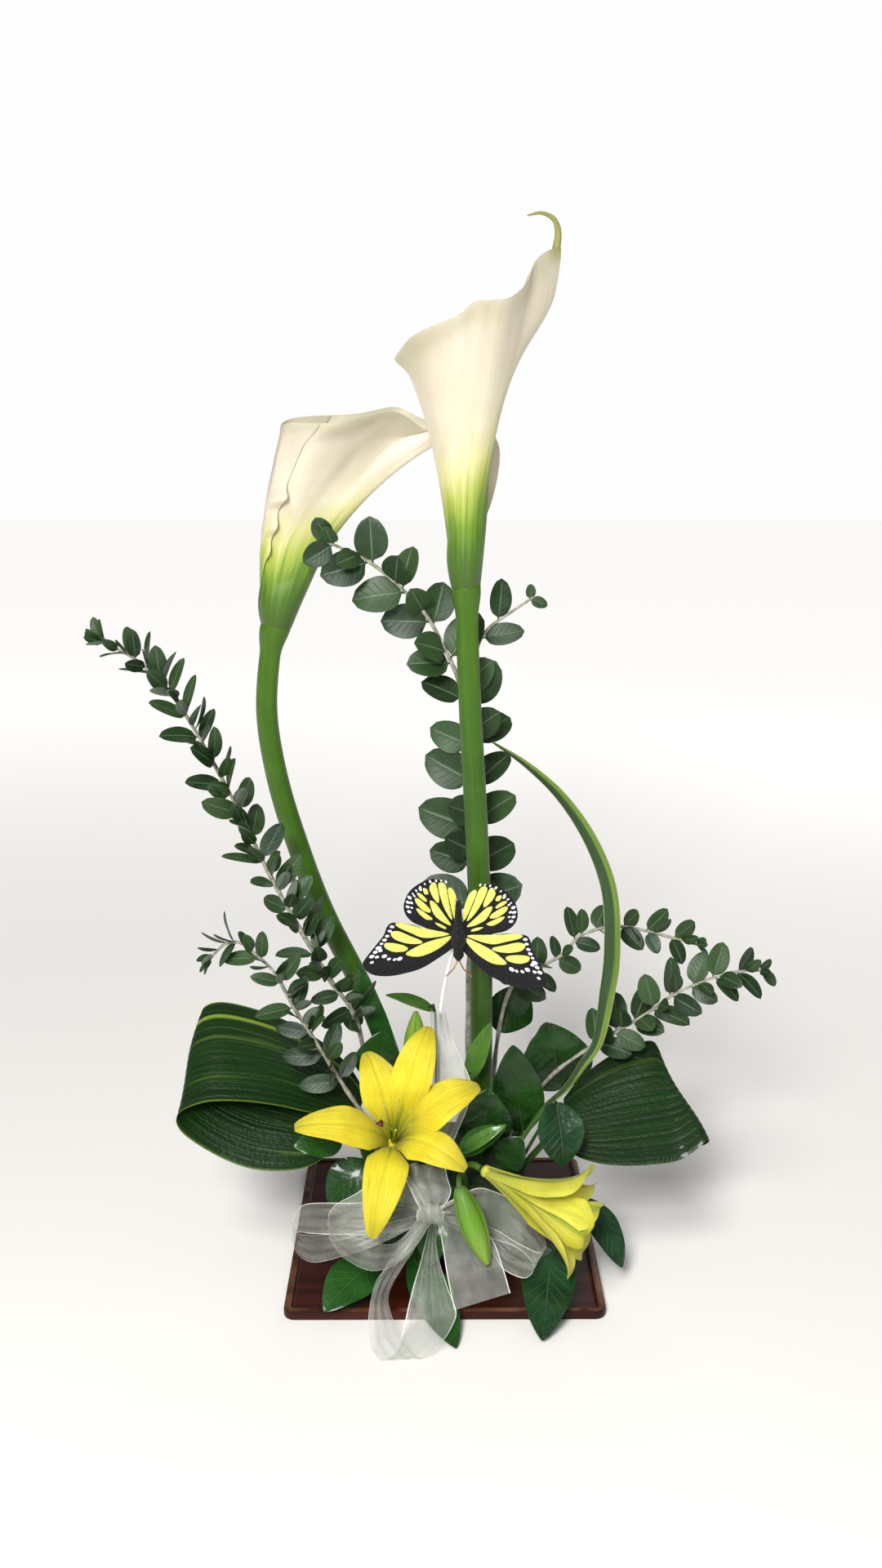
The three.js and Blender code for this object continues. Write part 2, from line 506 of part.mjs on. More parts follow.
// The middle surface of a single leaf, from its base to its tip, arched along its length and cupped across.
function leafPoint(base, tip, facing, width, droop, s, t) {
  const rib = vec(tip).sub(vec(base));
  const length = rib.length();
  rib.normalize();
  const normal = vec(facing).addScaledVector(rib, -vec(facing).dot(rib)).normalize();
  const across = normal.clone().cross(rib);
  const swell = Math.pow(Math.sin(Math.PI * Math.pow(mix(0.02, 0.995, s), 0.85)), 0.72);
  const half = (width / 2) * Math.max(0.05, swell);
  const lift = droop * length * 4 * s * (1 - s) + 0.1 * half * Math.abs(t);
  const point = vec(base).addScaledVector(rib, s * length);
  return point.addScaledVector(across, t * half).addScaledVector(normal, lift);
}

function singleLeaf(name, [root, bend, base, tip, facing, width, droop]) {
  const blade = sheet((s, t) => leafPoint(base, tip, facing, width, droop, s, t), 5, 2, LEAF_THICKNESS);
  const into = leafPoint(base, tip, facing, width, droop, 0.16, 0).toArray();
  add(name, join(blade, stalk([root, bend, base, into], (u) => mix(1.5, 1, u), 3, 4)), "leaf");
}

// ---- Yellow lilies ----
// throat and axis place the flower; each tepal is [tip, half width]; depth is how far the tepals stay
// together along the axis, and flare how far back their tips bend; room is how much wider they may get for
// each millimetre from the axis, and cup how far their margins bend in; style is the style's bend and end.
const LILIES = {
  lily_open: {
    throat: [-33, -60, 98],
    axis: [0.1, -0.63, 0.77],
    depth: 24,
    flare: 14,
    stalk: [[-20, -28, 42], [-24, -38, 57], [-29, -47, 75], [-31.8, -54, 90], [-33.3, -58.4, 96]],
    tepals: [[[-9.8, -48, 171.6], 13], [[21.5, -66, 140.2], 13.5], [[12.4, -97, 100.2], 12.5],
      [[-44, -114, 64.5], 13.5], [[-90.7, -90, 124.4], 13], [[-49.2, -50, 156.1], 13.5]],
    room: 0.75,
    cup: -0.3,
    style: [[-5, -1.5, 31], [-11, -5, 44]],
    filaments: 44,
    splay: 1,
  },
  lily_side: {
    throat: [25, -62, 81],
    axis: [0.87, -0.36, -0.33],
    depth: 20,
    flare: 2,
    stalk: [[10, -22, 42], [11, -36, 58], [13, -50, 76], [18, -57.5, 82.5], [22.8, -61.1, 81.8]],
    tepals: [[[89.8, -76, 92.8], 15], [[95.1, -92, 72.2], 14], [[84.4, -106, 61], 15],
      [[74.9, -98, 27.5], 13], [[86.9, -68, 27.3], 14], [[95.1, -60, 70.2], 14]],
    room: 1.05,
    cup: 0.35,
    style: [[0, 0, 32], [0, 0, 42]],
    filaments: 38,
    splay: 0,
  },
};
const TEPAL_ROOT = 2.2; // how far from the axis a tepal starts

// Flower frame: +Z along the axis, +X to the right as seen from in front.
function flowerFrame({ throat, axis }) {
  const forward = vec(axis).normalize();
  const right = new THREE.Vector3(0, 0, 1).cross(forward).normalize();
  const up = forward.clone().cross(right);
  return new THREE.Matrix4().makeBasis(right, up, forward).setPosition(vec(throat));
}

// The middle surface of a tepal in the flower's frame, from its root to its tip.
function tepalPoint({ depth, flare, room, cup }, tip, half, s, t) {
  const reach = Math.hypot(tip.x, tip.y);
  const out = new THREE.Vector3(tip.x / reach, tip.y / reach, 0);
  const at = (r, h) => out.clone().multiplyScalar(r).setZ(h);
  const rise = Math.max(tip.z + flare, depth + 6);
  const [root, low, high] = [at(TEPAL_ROOT, 0), at(0.14 * reach, depth), at(0.55 * reach, rise)];
  const spine = new THREE.CubicBezierCurve3(root, low, high, tip);
  const along = spine.getTangent(s);
  const across = new THREE.Vector3(0, 0, 1).cross(out);
  const inward = across.clone().cross(along).negate();
  const swell = Math.pow(Math.sin(Math.PI * Math.pow(mix(0.12, 0.98, s), 1.1)), 0.62);
  const point = spine.getPoint(s);
  const width = Math.min(half * swell, 1 + room * Math.hypot(point.x, point.y));
  const cupped = cup * width * t * t * (1 - 0.6 * s);
  return point.addScaledVector(across, width * t).addScaledVector(inward, cupped);
}

function lily(name, spec) {
  const frame = flowerFrame(spec);
  const tepals = spec.tepals.map(([tip, half], k) => {
    const local = vec(tip).applyMatrix4(frame.clone().invert());
    const blade = sheet((s, t) => tepalPoint(spec, local, half, s, t), 6, 2, PETAL_THICKNESS);
    return blade.translate(0, 0, k % 2 ? 0 : 0.7); // three tepals stand just inside the other three
  });
  const cup = new THREE.SphereGeometry(4, 7, 5).scale(1, 1, 0.8).translate(0, 0, 1);
  add(name + "_tepals", join(...tepals, cup).applyMatrix4(frame), "petal");
  const style = curveOf([[0, 0, 4.55], [0, 0, 18], ...spec.style]);
  const stigma = new THREE.SphereGeometry(2.8, 5, 3).scale(1, 1, 0.75).translate(...spec.style[1]);
  const parts = [tube(style, () => 1.2, 5, 3), stigma];
  for (let k = 0; k < 6; k++) {
    const a = (k * Math.PI) / 3 + 0.3;
    const at = (r, h) => [r * Math.cos(a), r * Math.sin(a), h];
    const spread = (r) => mix(1.3, r, spec.splay);
    const path = [at(0.4, 5.5), at(spread(2.6), 16), at(spread(5.5), 30), at(spread(10), spec.filaments)];
    parts.push(tube(curveOf(path), (u) => mix(0.8, 0.5, u), 3, 2));
  }
  add(name + "_style", join(...parts).applyMatrix4(frame), "style");
  add(name + "_stalk", stalk(spec.stalk, () => 2.3, 6, 5), "stem");
}

// A bud with its stalk: three-sided and grooved, from its base to its tip.
const BUDS = {
  lily_bud_upright: {
    stalk: [[-9, -15, 42], [-13, -19, 84], [-19, -23, 122], [-19.5, -24.5, 131]],
    tip: [-18, -26, 173],
    radius: 7.2,
  },
  lily_bud_hanging: {
    stalk: [[14, -26, 40], [14, -44, 62], [11, -70, 83], [8.6, -84, 87], [9, -88.5, 83]],
    tip: [26, -99, 38],
    radius: 8.4,
  },
};

function bud(name, spec) {
  const foot = vec(spec.stalk.at(-1));
  const axis = vec(spec.tip).sub(foot);
  const length = axis.length();
  const turn = new THREE.Quaternion().setFromUnitVectors(new THREE.Vector3(0, 0, 1), axis.normalize());
  const line = new THREE.LineCurve3(new THREE.Vector3(0, 0, -1), new THREE.Vector3(0, 0, length));
  const swell = (u) => Math.pow(Math.sin(Math.PI * mix(0.07, 0.96, Math.pow(u, 0.9))), 0.75);
  const shape = tube(line, (u) => spec.radius * swell(u), 9, 7);
  const position = shape.attributes.position;
  for (let i = 0; i < position.count; i++) {
    const grooved = 1 + 0.07 * Math.cos(3 * Math.atan2(position.getY(i), position.getX(i)));
    position.setXYZ(i, position.getX(i) * grooved, position.getY(i) * grooved, position.getZ(i));
  }
  shape.applyQuaternion(turn).translate(...foot);
  add(name, join(shape, stalk(spec.stalk, () => 1.7, 5, 5)), "petal");
}

// ---- Ribbon bow ----
// Each run of the ribbon is drawn by its two edges, which draw together where it is gathered in the knot.
const KNOT = [-9, -85, 64];
const KNOT_BACK = 5; // how far behind the knot's middle its pick ends
const BOW = [
  [
    [[-13, -82, 68], [-25.2, -70, 84.3], [-40.7, -66, 79.5], [-54.9, -66, 68.2], [-68.6, -70, 61.7],
      [-72.9, -76, 55.5], [-63.4, -80, 48], [-48.1, -82, 43.5], [-34.1, -82, 40.9], [-23.9, -84, 47.4],
      [-13, -84, 61]],
    [[-12, -82, 61], [-24.1, -74, 46.5], [-40.9, -70, 42.1], [-57.5, -72, 40.4], [-69.7, -82, 43.5],
      [-70.6, -98, 55.7], [-63.1, -106, 48], [-45.7, -110, 40.1], [-29.7, -108, 42.3], [-19.8, -100, 48.5],
      [-9.9, -88, 60]],
  ],
  [
    [[-13, -82, 66], [-44.9, -62, 58.9], [-64.6, -58, 56.7], [-86.5, -60, 57.2], [-93.3, -64, 54.5],
      [-95.8, -70, 50.8], [-92.8, -72, 43.4], [-83.2, -72, 41.7], [-70.4, -72, 42.6], [-50.9, -76, 46],
      [-13, -84, 63]],
    [[-12, -82, 60], [-44.5, -76, 45.6], [-63.5, -78, 46.1], [-82.3, -82, 49.2], [-90.5, -88, 53.4],
      [-92.6, -96, 53.2], [-90.2, -100, 45.9], [-80.8, -102, 40.9], [-64.8, -100, 42.4], [-47.6, -92, 43.8],
      [-12, -85, 60]],
  ],
  [
    [[-13, -85, 61], [-28.3, -86, 43.2], [-37.1, -92, 31.3], [-42.6, -103, 27.5], [-45.6, -116, 19.8],
      [-45.9, -130, 12.4], [-43.6, -139, 6.2], [-36.3, -143, 1.8], [-28.7, -134, 2.1], [-25.3, -120, 5.7],
      [-22.9, -112, 14.3], [-19.3, -104, 25.9], [-14.6, -96, 37.7], [-11, -89, 48.9], [-9, -86, 60]],
    [[-8, -84, 60], [-15, -84, 47.6], [-20.7, -88, 38], [-31.3, -97, 23.8], [-34.5, -110, 20],
      [-28.2, -128, 11], [-20.7, -138, 5.4], [-12.3, -141, 2.7], [-2.6, -134, 6.8], [4.6, -122, 11.1],
      [6.8, -114, 15.5], [1.9, -106, 25.7], [-3, -98, 38.9], [-5, -90, 49.4], [-5, -86, 60]],
  ],
  [
    [[-8, -86, 65], [-3.9, -91, 58.4], [-1.1, -97, 46.6], [1.6, -104, 31.4], [5.6, -111, 13.9]],
    [[-2, -85, 66], [18, -80, 58], [29.8, -86, 46.2], [35.6, -95, 34.4], [40.2, -102, 20]],
  ],
  [
    [[-4, -84, 68], [18.1, -74, 75.2], [31.2, -66, 68.7], [43.1, -62, 60.1], [53.4, -64, 49.8],
      [62.2, -70, 38.9], [63.2, -78, 35.1], [57.6, -82, 36.1], [44.8, -80, 41.8], [29.4, -78, 50.3],
      [-4, -84, 64]],
    [[-4, -84, 61], [20.7, -78, 46.6], [31.1, -74, 39.9], [42.7, -74, 35.6], [51.4, -80, 32.1],
      [55.1, -92, 30.9], [51.6, -98, 28.7], [45.9, -98, 28.3], [35.4, -92, 31.4], [25.4, -84, 41.8],
      [-4, -85, 59]],
  ],
  [
    [[-13, -87, 63], [-19.9, -86, 78.1], [-25, -80, 86.6], [-28.2, -74, 92]],
    [[-4, -87, 64], [3.6, -82, 76], [1.6, -76, 84], [-0.3, -70, 89.9]],
  ],
];

function ribbonBow() {
  const knot = new THREE.SphereGeometry(8, 9, 6).scale(1.1, 0.6, 0.9).translate(...KNOT);
  add("ribbon_bow", join(knot, ...BOW.map((edges) => strip(edges, 1, 1, RIBBON_THICKNESS))), "ribbon");
  const end = [KNOT[0], KNOT[1] + KNOT_BACK, KNOT[2]];
  add("ribbon_pick", stalk([[-10, -26, 50], [-10, -44, 56], [-10, -66, 62], end], () => 1.2, 5, 4), "stick");
}

const TAIL_UP = [
  [[-8.8, -40.2, 179.3], [-8.3, -42, 166.9], [-7.8, -44, 152.3], [-7.3, -46, 134.3], [-8.9, -48, 117.9],
    [-14.6, -53, 101.9], [-20.7, -58, 93.2]],
  [[0.5, -40.2, 179.3], [3.5, -41.5, 166.7], [9.2, -42, 151.4], [16.6, -42, 132.4], [15.5, -44, 117.7],
    [8.7, -50, 102], [3.5, -57, 92.6]],
];

// ---- Butterfly on its stick ----
const BUTTERFLY = {
  centre: [8.6, -44, 233],
  hind: [[-2, 2], [-1.9, 16.5], [-5, 23.7], [-10.2, 30.9], [-16.4, 33], [-23.6, 30.9], [-30.8, 25.8],
    [-34.4, 18.5], [-33.9, 12.4], [-29.8, 7.2], [-23.6, 4.1], [-15.3, 1], [-2, 0]],
  fore: [[-2, -1], [-19.5, 2.1], [-29.8, 5.2], [-41.1, 6.7], [-45.2, 4.1], [-47.3, -1], [-52.4, -7.2],
    [-59.1, -15.5], [-60.2, -18.5], [-57.6, -22.7], [-52.4, -25.2], [-43.2, -25.8], [-32.9, -24.2],
    [-23.6, -21.6], [-14.3, -16.5], [-2, -8]],
  rightTurn: -11, // degrees that the right pair of wings is turned against the left
  dihedral: 14,
  thickness: 1,
};

function wing(points) {
  const shape = new THREE.Shape(points.map(([x, y]) => new THREE.Vector2(x, y)));
  return new THREE.ExtrudeGeometry(shape, { depth: BUTTERFLY.thickness, bevelEnabled: false });
}

function butterfly() {
  const tilt = radians(90 - 14); // wings stand nearly upright, faces to the front
  const [x, y, z] = BUTTERFLY.centre;
  const mirrored = (points) => points.map(([u, v]) => [-u, v]).reverse();
  const left = join(wing(BUTTERFLY.hind), wing(BUTTERFLY.fore)).rotateY(radians(BUTTERFLY.dihedral));
  const right = join(wing(mirrored(BUTTERFLY.hind)), wing(mirrored(BUTTERFLY.fore)));
  right.rotateY(radians(-BUTTERFLY.dihedral)).rotateZ(radians(BUTTERFLY.rightTurn));
  const bridge = new THREE.BoxGeometry(6, 12, BUTTERFLY.thickness).translate(0, -2, BUTTERFLY.thickness / 2);
  add("butterfly_wings", join(left, right, bridge).rotateX(tilt).translate(x, y, z), "wing");
  const body = new THREE.SphereGeometry(1, 7, 8).scale(3.2, 17, 3);
  const head = new THREE.SphereGeometry(2.9, 6, 5).translate(0, -17.5, 0);
  const feeler = (side) =>
    tube(curveOf([[0, -18, 0], [3 * side, -24, 1], [8 * side, -29, 1.5]]), () => 0.45, 3, 3);
  const insect = join(body, head, feeler(1), feeler(-1)).translate(0, 0, BUTTERFLY.thickness + 3 + GAP);
  add("butterfly_body", insect.rotateX(tilt).translate(x, y, z), "body");
  add("butterfly_stick", stalk([[-4, -20, 40], [-4, -30, 110], [-2.6, -38, 176], [3, -42.4, 212],
    [8.4, -43.1, 231]], () => 1.1, 5, 6), "stick");
}

// ---- Assembly ----
Object.entries(CALLAS).forEach(([name, flower]) => calla(name, flower));
Object.entries(SPRAYS).forEach(([name, spec], i) => spray(name, spec, 10 * i + 1));
Object.entries(LOOPED).forEach(([name, spec]) => loopedLeaf(name, spec));
grassLeaf();
Object.entries(LEAVES).forEach(([name, spec]) => singleLeaf(name, spec));
Object.entries(LILIES).forEach(([name, spec]) => lily(name, spec));
Object.entries(BUDS).forEach(([name, spec]) => bud(name, spec));
ribbonBow();
add("ribbon_tail", strip(TAIL_UP, 2, 2, RIBBON_THICKNESS), "ribbon");
butterfly();
add("dish", dish(), "dish");
const block = new THREE.BoxGeometry(FOAM.width, FOAM.depth, FOAM.height);
add("foam", cut(block.translate(0, 0, FOAM.base + FOAM.height / 2), holes), "foam");

export default arrangement;
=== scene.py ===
# %% [markdown]
# # Two calla lilies in a low dish
# This is a florist's arrangement. Two tall calla lilies stand in a block of wet foam on a square brown dish,
# with yellow lilies, leafy sprays, looped leaves, a bow of sheer ribbon and a butterfly on a stick round their
# foot. The CAD model gives every piece its place and size. Here each piece gets its fine shape and its finish.
#
# Nearly every piece is a surface with two parameters: how far along it a point is, and how far across or
# around. numpy works out the whole grid of points at once, and one helper turns grids into a closed mesh.

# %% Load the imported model
import math

import bpy
import numpy as np
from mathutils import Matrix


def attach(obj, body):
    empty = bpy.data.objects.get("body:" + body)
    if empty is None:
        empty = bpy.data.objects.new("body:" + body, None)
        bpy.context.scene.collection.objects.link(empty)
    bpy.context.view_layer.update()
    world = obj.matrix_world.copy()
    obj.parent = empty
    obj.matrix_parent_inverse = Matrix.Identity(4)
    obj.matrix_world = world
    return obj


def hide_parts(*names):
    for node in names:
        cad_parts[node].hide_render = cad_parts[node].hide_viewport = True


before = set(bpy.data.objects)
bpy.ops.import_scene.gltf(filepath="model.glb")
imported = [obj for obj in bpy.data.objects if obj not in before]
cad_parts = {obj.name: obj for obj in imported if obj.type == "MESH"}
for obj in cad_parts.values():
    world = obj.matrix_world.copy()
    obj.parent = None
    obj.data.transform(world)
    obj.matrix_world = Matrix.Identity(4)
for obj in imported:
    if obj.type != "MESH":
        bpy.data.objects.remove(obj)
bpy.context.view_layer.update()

# %% [markdown]
# ## Camera and light
# A view is easiest to match first. The camera stands a little over half a metre up and looks slightly down.
# The light is that of a white room: a pale sky all round, and wide soft daylight from the upper left. A small
# main lamp behind the camera and above it puts a bright highlight on every glossy leaf, and a weak lamp at the
# back lifts the outlines. The sky lights the pieces less than it shows behind them, so that dark leaves stay
# dark.

# %% Camera
scene = bpy.context.scene
scene.view_settings.view_transform = "Standard"


def add_object(name, data):
    """An object with this data, linked into the scene."""
    made = bpy.data.objects.new(name, data)
    scene.collection.objects.link(made)
    return made


LOOK_DOWN, LOOK_RIGHT = 13.22, 0.29  # degrees
camera_data = bpy.data.cameras.new("camera")
camera_data.lens, camera_data.sensor_width = 33.75, 36  # millimetres, along the picture's longer side
camera = add_object("camera", camera_data)
camera.location = (-0.0065, -0.908, 0.530)
camera.rotation_euler = (math.radians(90 - LOOK_DOWN), 0, math.radians(-LOOK_RIGHT))
scene.camera = camera
print("camera, m:", [round(x, 4) for x in camera.location], "looking down, degrees:", LOOK_DOWN)


# %% Lights
def paint(r, g, b):
    """A colour as seen on a screen, 0 to 255, as the linear colour that a shader takes."""
    shares = np.array([r, g, b]) / 255
    linear = np.where(shares <= 0.04045, shares / 12.92, ((shares + 0.055) / 1.055) ** 2.4)
    return (*linear.tolist(), 1.0)


def lamp(name, place, aim, size, power):
    """A square soft lamp at place that points at aim."""
    data = bpy.data.lights.new(name, "AREA")
    data.size, data.energy = size, power
    made = add_object(name, data)
    made.location = place
    way = np.array(aim) - np.array(place)
    made.rotation_euler = (math.atan2(math.hypot(way[0], way[1]), -way[2]), 0, math.atan2(-way[0], way[1]))


lamp("main_lamp", (-0.3, -1.35, 1.05), (0, 0, 0.28), 0.35, 20)
lamp("back_lamp", (0.7, 1.5, 1.2), (0, 0, 0.3), 0.8, 5)
day = bpy.data.lights.new("soft_daylight", "SUN")
day.energy, day.angle = 1.25, math.radians(18)
add_object("soft_daylight", day).rotation_euler = (math.radians(38), 0, math.radians(-22))
SKY_ON_PIECES, SKY_AS_SEEN = 0.2, 1.0
world = bpy.data.worlds.new("white_room")
world.use_nodes = True
room = world.node_tree
room.nodes["Background"].inputs["Color"].default_value = paint(254, 254, 255)
seen = room.nodes.new("ShaderNodeLightPath")
strength = room.nodes.new("ShaderNodeMapRange")
strength.inputs["To Min"].default_value, strength.inputs["To Max"].default_value = SKY_ON_PIECES, SKY_AS_SEEN
room.links.new(seen.outputs["Is Camera Ray"], strength.inputs["Value"])
room.links.new(strength.outputs["Result"], room.nodes["Background"].inputs["Strength"])
scene.world = world
print("lights:", [light.name for light in bpy.data.lights], "and", world.name)

# %% [markdown]
# ## Tools for shapes
# Stems, ribbons and leaves all follow a smooth line through a few given points. On each stretch
# between two points the line is a cubic whose slope at a point is half the step between its neighbours.
# All measures are millimetres until the mesh is made.

# %% Smooth lines
MM = 0.001


def unit(vectors):
    """Each vector divided by its own length."""
    return vectors / np.maximum(np.linalg.norm(vectors, axis=-1, keepdims=True), 1e-12)


def spline(points, u):
    """The smooth line through points, at u from 0 to 1, where each stretch takes an equal share of u."""
    p = np.asarray(points, float)
    p = np.concatenate([[2 * p[0] - p[1]], p, [2 * p[-1] - p[-2]]])
    x = np.clip(np.asarray(u, float), 0, 1) * (len(p) - 3)
    k = np.minimum(x.astype(int), len(p) - 4)
    w = (x - k)[..., None]
    before, start, end, after = p[k], p[k + 1], p[k + 2], p[k + 3]
    straight = (2 * w**3 - 3 * w**2 + 1) * start + (3 * w**2 - 2 * w**3) * end
    return straight + (w**3 - 2 * w**2 + w) * (end - before) / 2 + (w**3 - w**2) * (after - start) / 2


def even(points, s):
    """The u of a smooth line at the share s of its length."""
    u = np.linspace(0, 1, 601)
    reach = np.concatenate([[0], np.cumsum(np.linalg.norm(np.diff(spline(points, u), axis=0), axis=1))])
    return np.interp(s, reach / reach[-1], u)


def length_of(points):
    """The length of a smooth line, in millimetres."""
    return float(np.linalg.norm(np.diff(spline(points, np.linspace(0, 1, 601)), axis=0), axis=1).sum())


def slope(points, u):
    """The direction of a smooth line at u."""
    return unit(spline(points, u + 1e-4) - spline(points, u - 1e-4))


def bezier(a, b, c, d, s):
    """The cubic from a to d that leaves towards b and arrives from c."""
    return (1 - s) ** 3 * a + 3 * (1 - s) ** 2 * s * b + 3 * (1 - s) * s**2 * c + s**3 * d


def ease(x, low, high):
    """0 below low, 1 above high, and a soft rise between them."""
    w = np.clip((np.asarray(x, float) - low) / (high - low), 0, 1)
    return w * w * (3 - 2 * w)


def scatter(i, k):
    """A number from -1 to 1 that looks random and is always the same for i and k."""
    x = np.sin(np.asarray(i) * 12.9898 + k * 78.233) * 43758.5453
    return 2 * (x - np.floor(x)) - 1


print("a straight line of 30 mm measures", length_of([[0, 0, 0], [10, 0, 0], [30, 0, 0]]))

# %% [markdown]
# Three kinds of grid cover almost everything. A **blade** is a thin leaf or petal: its middle surface, moved
# half its thickness to both sides, and thinned to nothing at the margin so that the edge is closed. A **stem**
# is a ring carried along a line. A **band** is any other grid. Each carries marks, which are numbers per point
# that its finish can read: how far along and across it lies, and whether it is an underside.


# %% Grids
def band(points, **marks):
    """A grid of points, or a stack of such grids, with the marks of its points."""
    points = np.asarray(points, float)
    points = points if points.ndim == 4 else points[None]
    count, rows, columns = points.shape[:3]
    marks.setdefault("along", np.linspace(0, 1, rows)[:, None])
    marks.setdefault("across", np.linspace(0, 1, columns))
    return points, {k: np.broadcast_to(np.asarray(v, float), (count, rows, columns)) for k, v in marks.items()}


def blade(middle, thickness, **marks):
    """Both faces of a thin leaf as one closed band: the middle surface moved half the thickness along its normal
    to either side, where the thickness falls to nothing at the margins and ends."""
    rows, columns = middle.shape[-3:-1]
    normal = unit(np.cross(np.gradient(middle, axis=-3), np.gradient(middle, axis=-2)))
    s, t = np.linspace(-1, 1, rows)[:, None], np.linspace(-1, 1, columns)
    half = (thickness / 2 * np.sqrt((1 - t**6) * (1 - s**10)))[..., None]
    points = np.concatenate([middle + normal * half, (middle - normal * half)[..., ::-1, :]], axis=-2)
    across, under = np.linspace(0, 1, columns), np.zeros(columns)
    marks = {k: both_faces(v, middle.shape[:-1]) for k, v in marks.items()}
    return band(points, across=np.r_[across, across[::-1]], under=np.r_[under, under + 1], **marks)


def both_faces(values, shape):
    """Marks of a middle surface, laid out for its upper and under face."""
    values = np.broadcast_to(np.asarray(values, float), shape)
    return np.concatenate([values, values[..., ::-1]], axis=-1)


def stem(path, radius, sides=12, rings=50, side=(0, 1, 0), **marks):
    """A ring carried along a line: at each place the ring stands square to the line, and radius, a number or a
    function of s and the angle, is how far out it lies. side is a direction that the line never takes. Both ends
    are drawn in to a point."""
    s, angle = np.linspace(0, 1, rings), np.linspace(0, 2 * np.pi, sides + 1)
    u = even(path, s)
    centre, way = spline(path, u), slope(path, u)
    first = unit(np.cross(way, np.array(side, float)))
    second = np.cross(first, way)
    ring = first[:, None] * np.cos(angle)[:, None] + second[:, None] * np.sin(angle)[:, None]
    reach = radius(s[:, None], angle) if callable(radius) else radius
    points = centre[:, None] + ring * np.broadcast_to(reach, (rings, sides + 1))[..., None]
    points[:, -1] = points[:, 0]
    ends = np.repeat(centre[[0, -1], None], sides + 1, axis=1)
    return band(np.concatenate([ends[:1], points, ends[1:]]), along=np.r_[0, s, 1][:, None], **marks)


print("a test stem is a grid of", stem([[0, 0, 0], [0, 0, 10]], 1.0)[0].shape[1:3], "points")

# %% [markdown]
# One helper makes the mesh. Where two points of the grids fall together, as on a closed margin, a seam or a
# pole, they become one, and a square that loses a side that way becomes a triangle. The along and across marks
# become the UV map, so patterns follow the piece, and the other marks become attributes.


# %% From grids to a piece
def make_piece(name, bands, finish, replaces=(), sharp=50):
    """Welds bands into one mesh with a UV map and attributes, and sets it in the frame. Edges where the surface
    bends by more than sharp degrees stay sharp."""
    points = np.concatenate([p.reshape(-1, 3) for p, _ in bands])
    squares, base = [], 0
    for p, _ in bands:
        number = base + np.arange(p[..., 0].size).reshape(p.shape[:3])
        corners = [number[:, :-1, :-1], number[:, 1:, :-1], number[:, 1:, 1:], number[:, :-1, 1:]]
        squares.append(np.stack(corners, -1).reshape(-1, 4))
        base += number.size
    squares = np.concatenate(squares)
    _, first, joined = np.unique(np.round(points, 4), axis=0, return_index=True, return_inverse=True)
    corners = joined.reshape(-1)[squares]
    kept = corners != np.roll(corners, -1, axis=1)
    four, three = kept.all(1), kept.sum(1) == 3
    faces = corners[four].tolist() + corners[three][kept[three]].reshape(-1, 3).tolist()
    source = np.r_[squares[four].ravel(), squares[three][kept[three]]]
    mesh = bpy.data.meshes.new(name)
    mesh.from_pydata((points[first] * MM).tolist(), [], faces)
    names = sorted({k for _, marks in bands for k in marks})
    values = {
        k: np.concatenate([(marks[k] if k in marks else np.zeros(p.shape[:3])).ravel() for p, marks in bands])
        for k in names
    }
    surface = np.stack([values["along"], values["across"]], -1)[source]
    mesh.uv_layers.new(name="surface").uv.foreach_set("vector", surface.astype(np.float32).ravel())
    for k in names:
        if k not in ("along", "across"):
            mesh.attributes.new(k, "FLOAT", "POINT").data.foreach_set("value", values[k][first].astype(np.float32))
    mesh.materials.append(finish)
    mesh.shade_smooth()
    mesh.set_sharp_from_angle(angle=math.radians(sharp))
    mesh.update()
    made = add_object(name, mesh)
    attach(made, "root")
    if replaces:
        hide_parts(*replaces)
    print(f"{name}: {len(mesh.vertices)} points, {len(mesh.polygons)} faces")
    return made


# %% [markdown]
# ## Tools for finishes
# A finish is a small tree of nodes round one Principled shader. These helpers add a node, do a sum, mix two
# colours or read a ramp in one line each. The effects that many finishes share, such as streaks, mottling and
# leaf veins, are node groups, so each is made once and has only colours, masks and heights for outputs.


# %% Node helpers
def put(tree, kind, inputs=None, **settings):
    """Adds a node. An input is a number, a colour or another node's socket."""
    node = tree.nodes.new(kind)
    for key, value in settings.items():
        setattr(node, key, value)
    for key, value in (inputs or {}).items():
        if isinstance(value, bpy.types.NodeSocket):
            tree.links.new(value, node.inputs[key])
        else:
            node.inputs[key].default_value = value
    return node


def calc(tree, what, a, b=0.0, c=0.0):
    """One sum, such as times(tree, x, 2)."""
    return put(tree, "ShaderNodeMath", {0: a, 1: b, 2: c}, operation=what).outputs[0]


def times(tree, a, b):
    """The product of two numbers or sockets."""
    return calc(tree, "MULTIPLY", a, b)


def mix(tree, share, a, b, way="MIX"):
    """The colour a where share is 0 and b where it is 1."""
    made = put(tree, "ShaderNodeMix", {0: share, 6: a, 7: b}, data_type="RGBA", blend_type=way)
    return made.outputs[2]


def tint(tree, colour, share, strength, towards):
    """The colour moved towards another, given as on a screen, by the share times the strength."""
    return mix(tree, times(tree, share, strength), colour, paint(*towards))


def ramp(tree, share, stops):
    """A colour ramp over share, from a list of (position, colour)."""
    made = put(tree, "ShaderNodeValToRGB", {0: share})
    slots = made.color_ramp.elements
    while len(slots) < len(stops):
        slots.new(0.5)
    for slot, (position, colour) in zip(slots, stops):
        slot.position, slot.color = position, colour
    return made.outputs[0]


def rise(tree, value, low, high, start=0.0, stop=1.0):
    """value from low to high turned into start to stop, softly, and held outside."""
    inputs = {0: value, 1: low, 2: high, 3: start, 4: stop}
    return put(tree, "ShaderNodeMapRange", inputs, interpolation_type="SMOOTHSTEP").outputs[0]


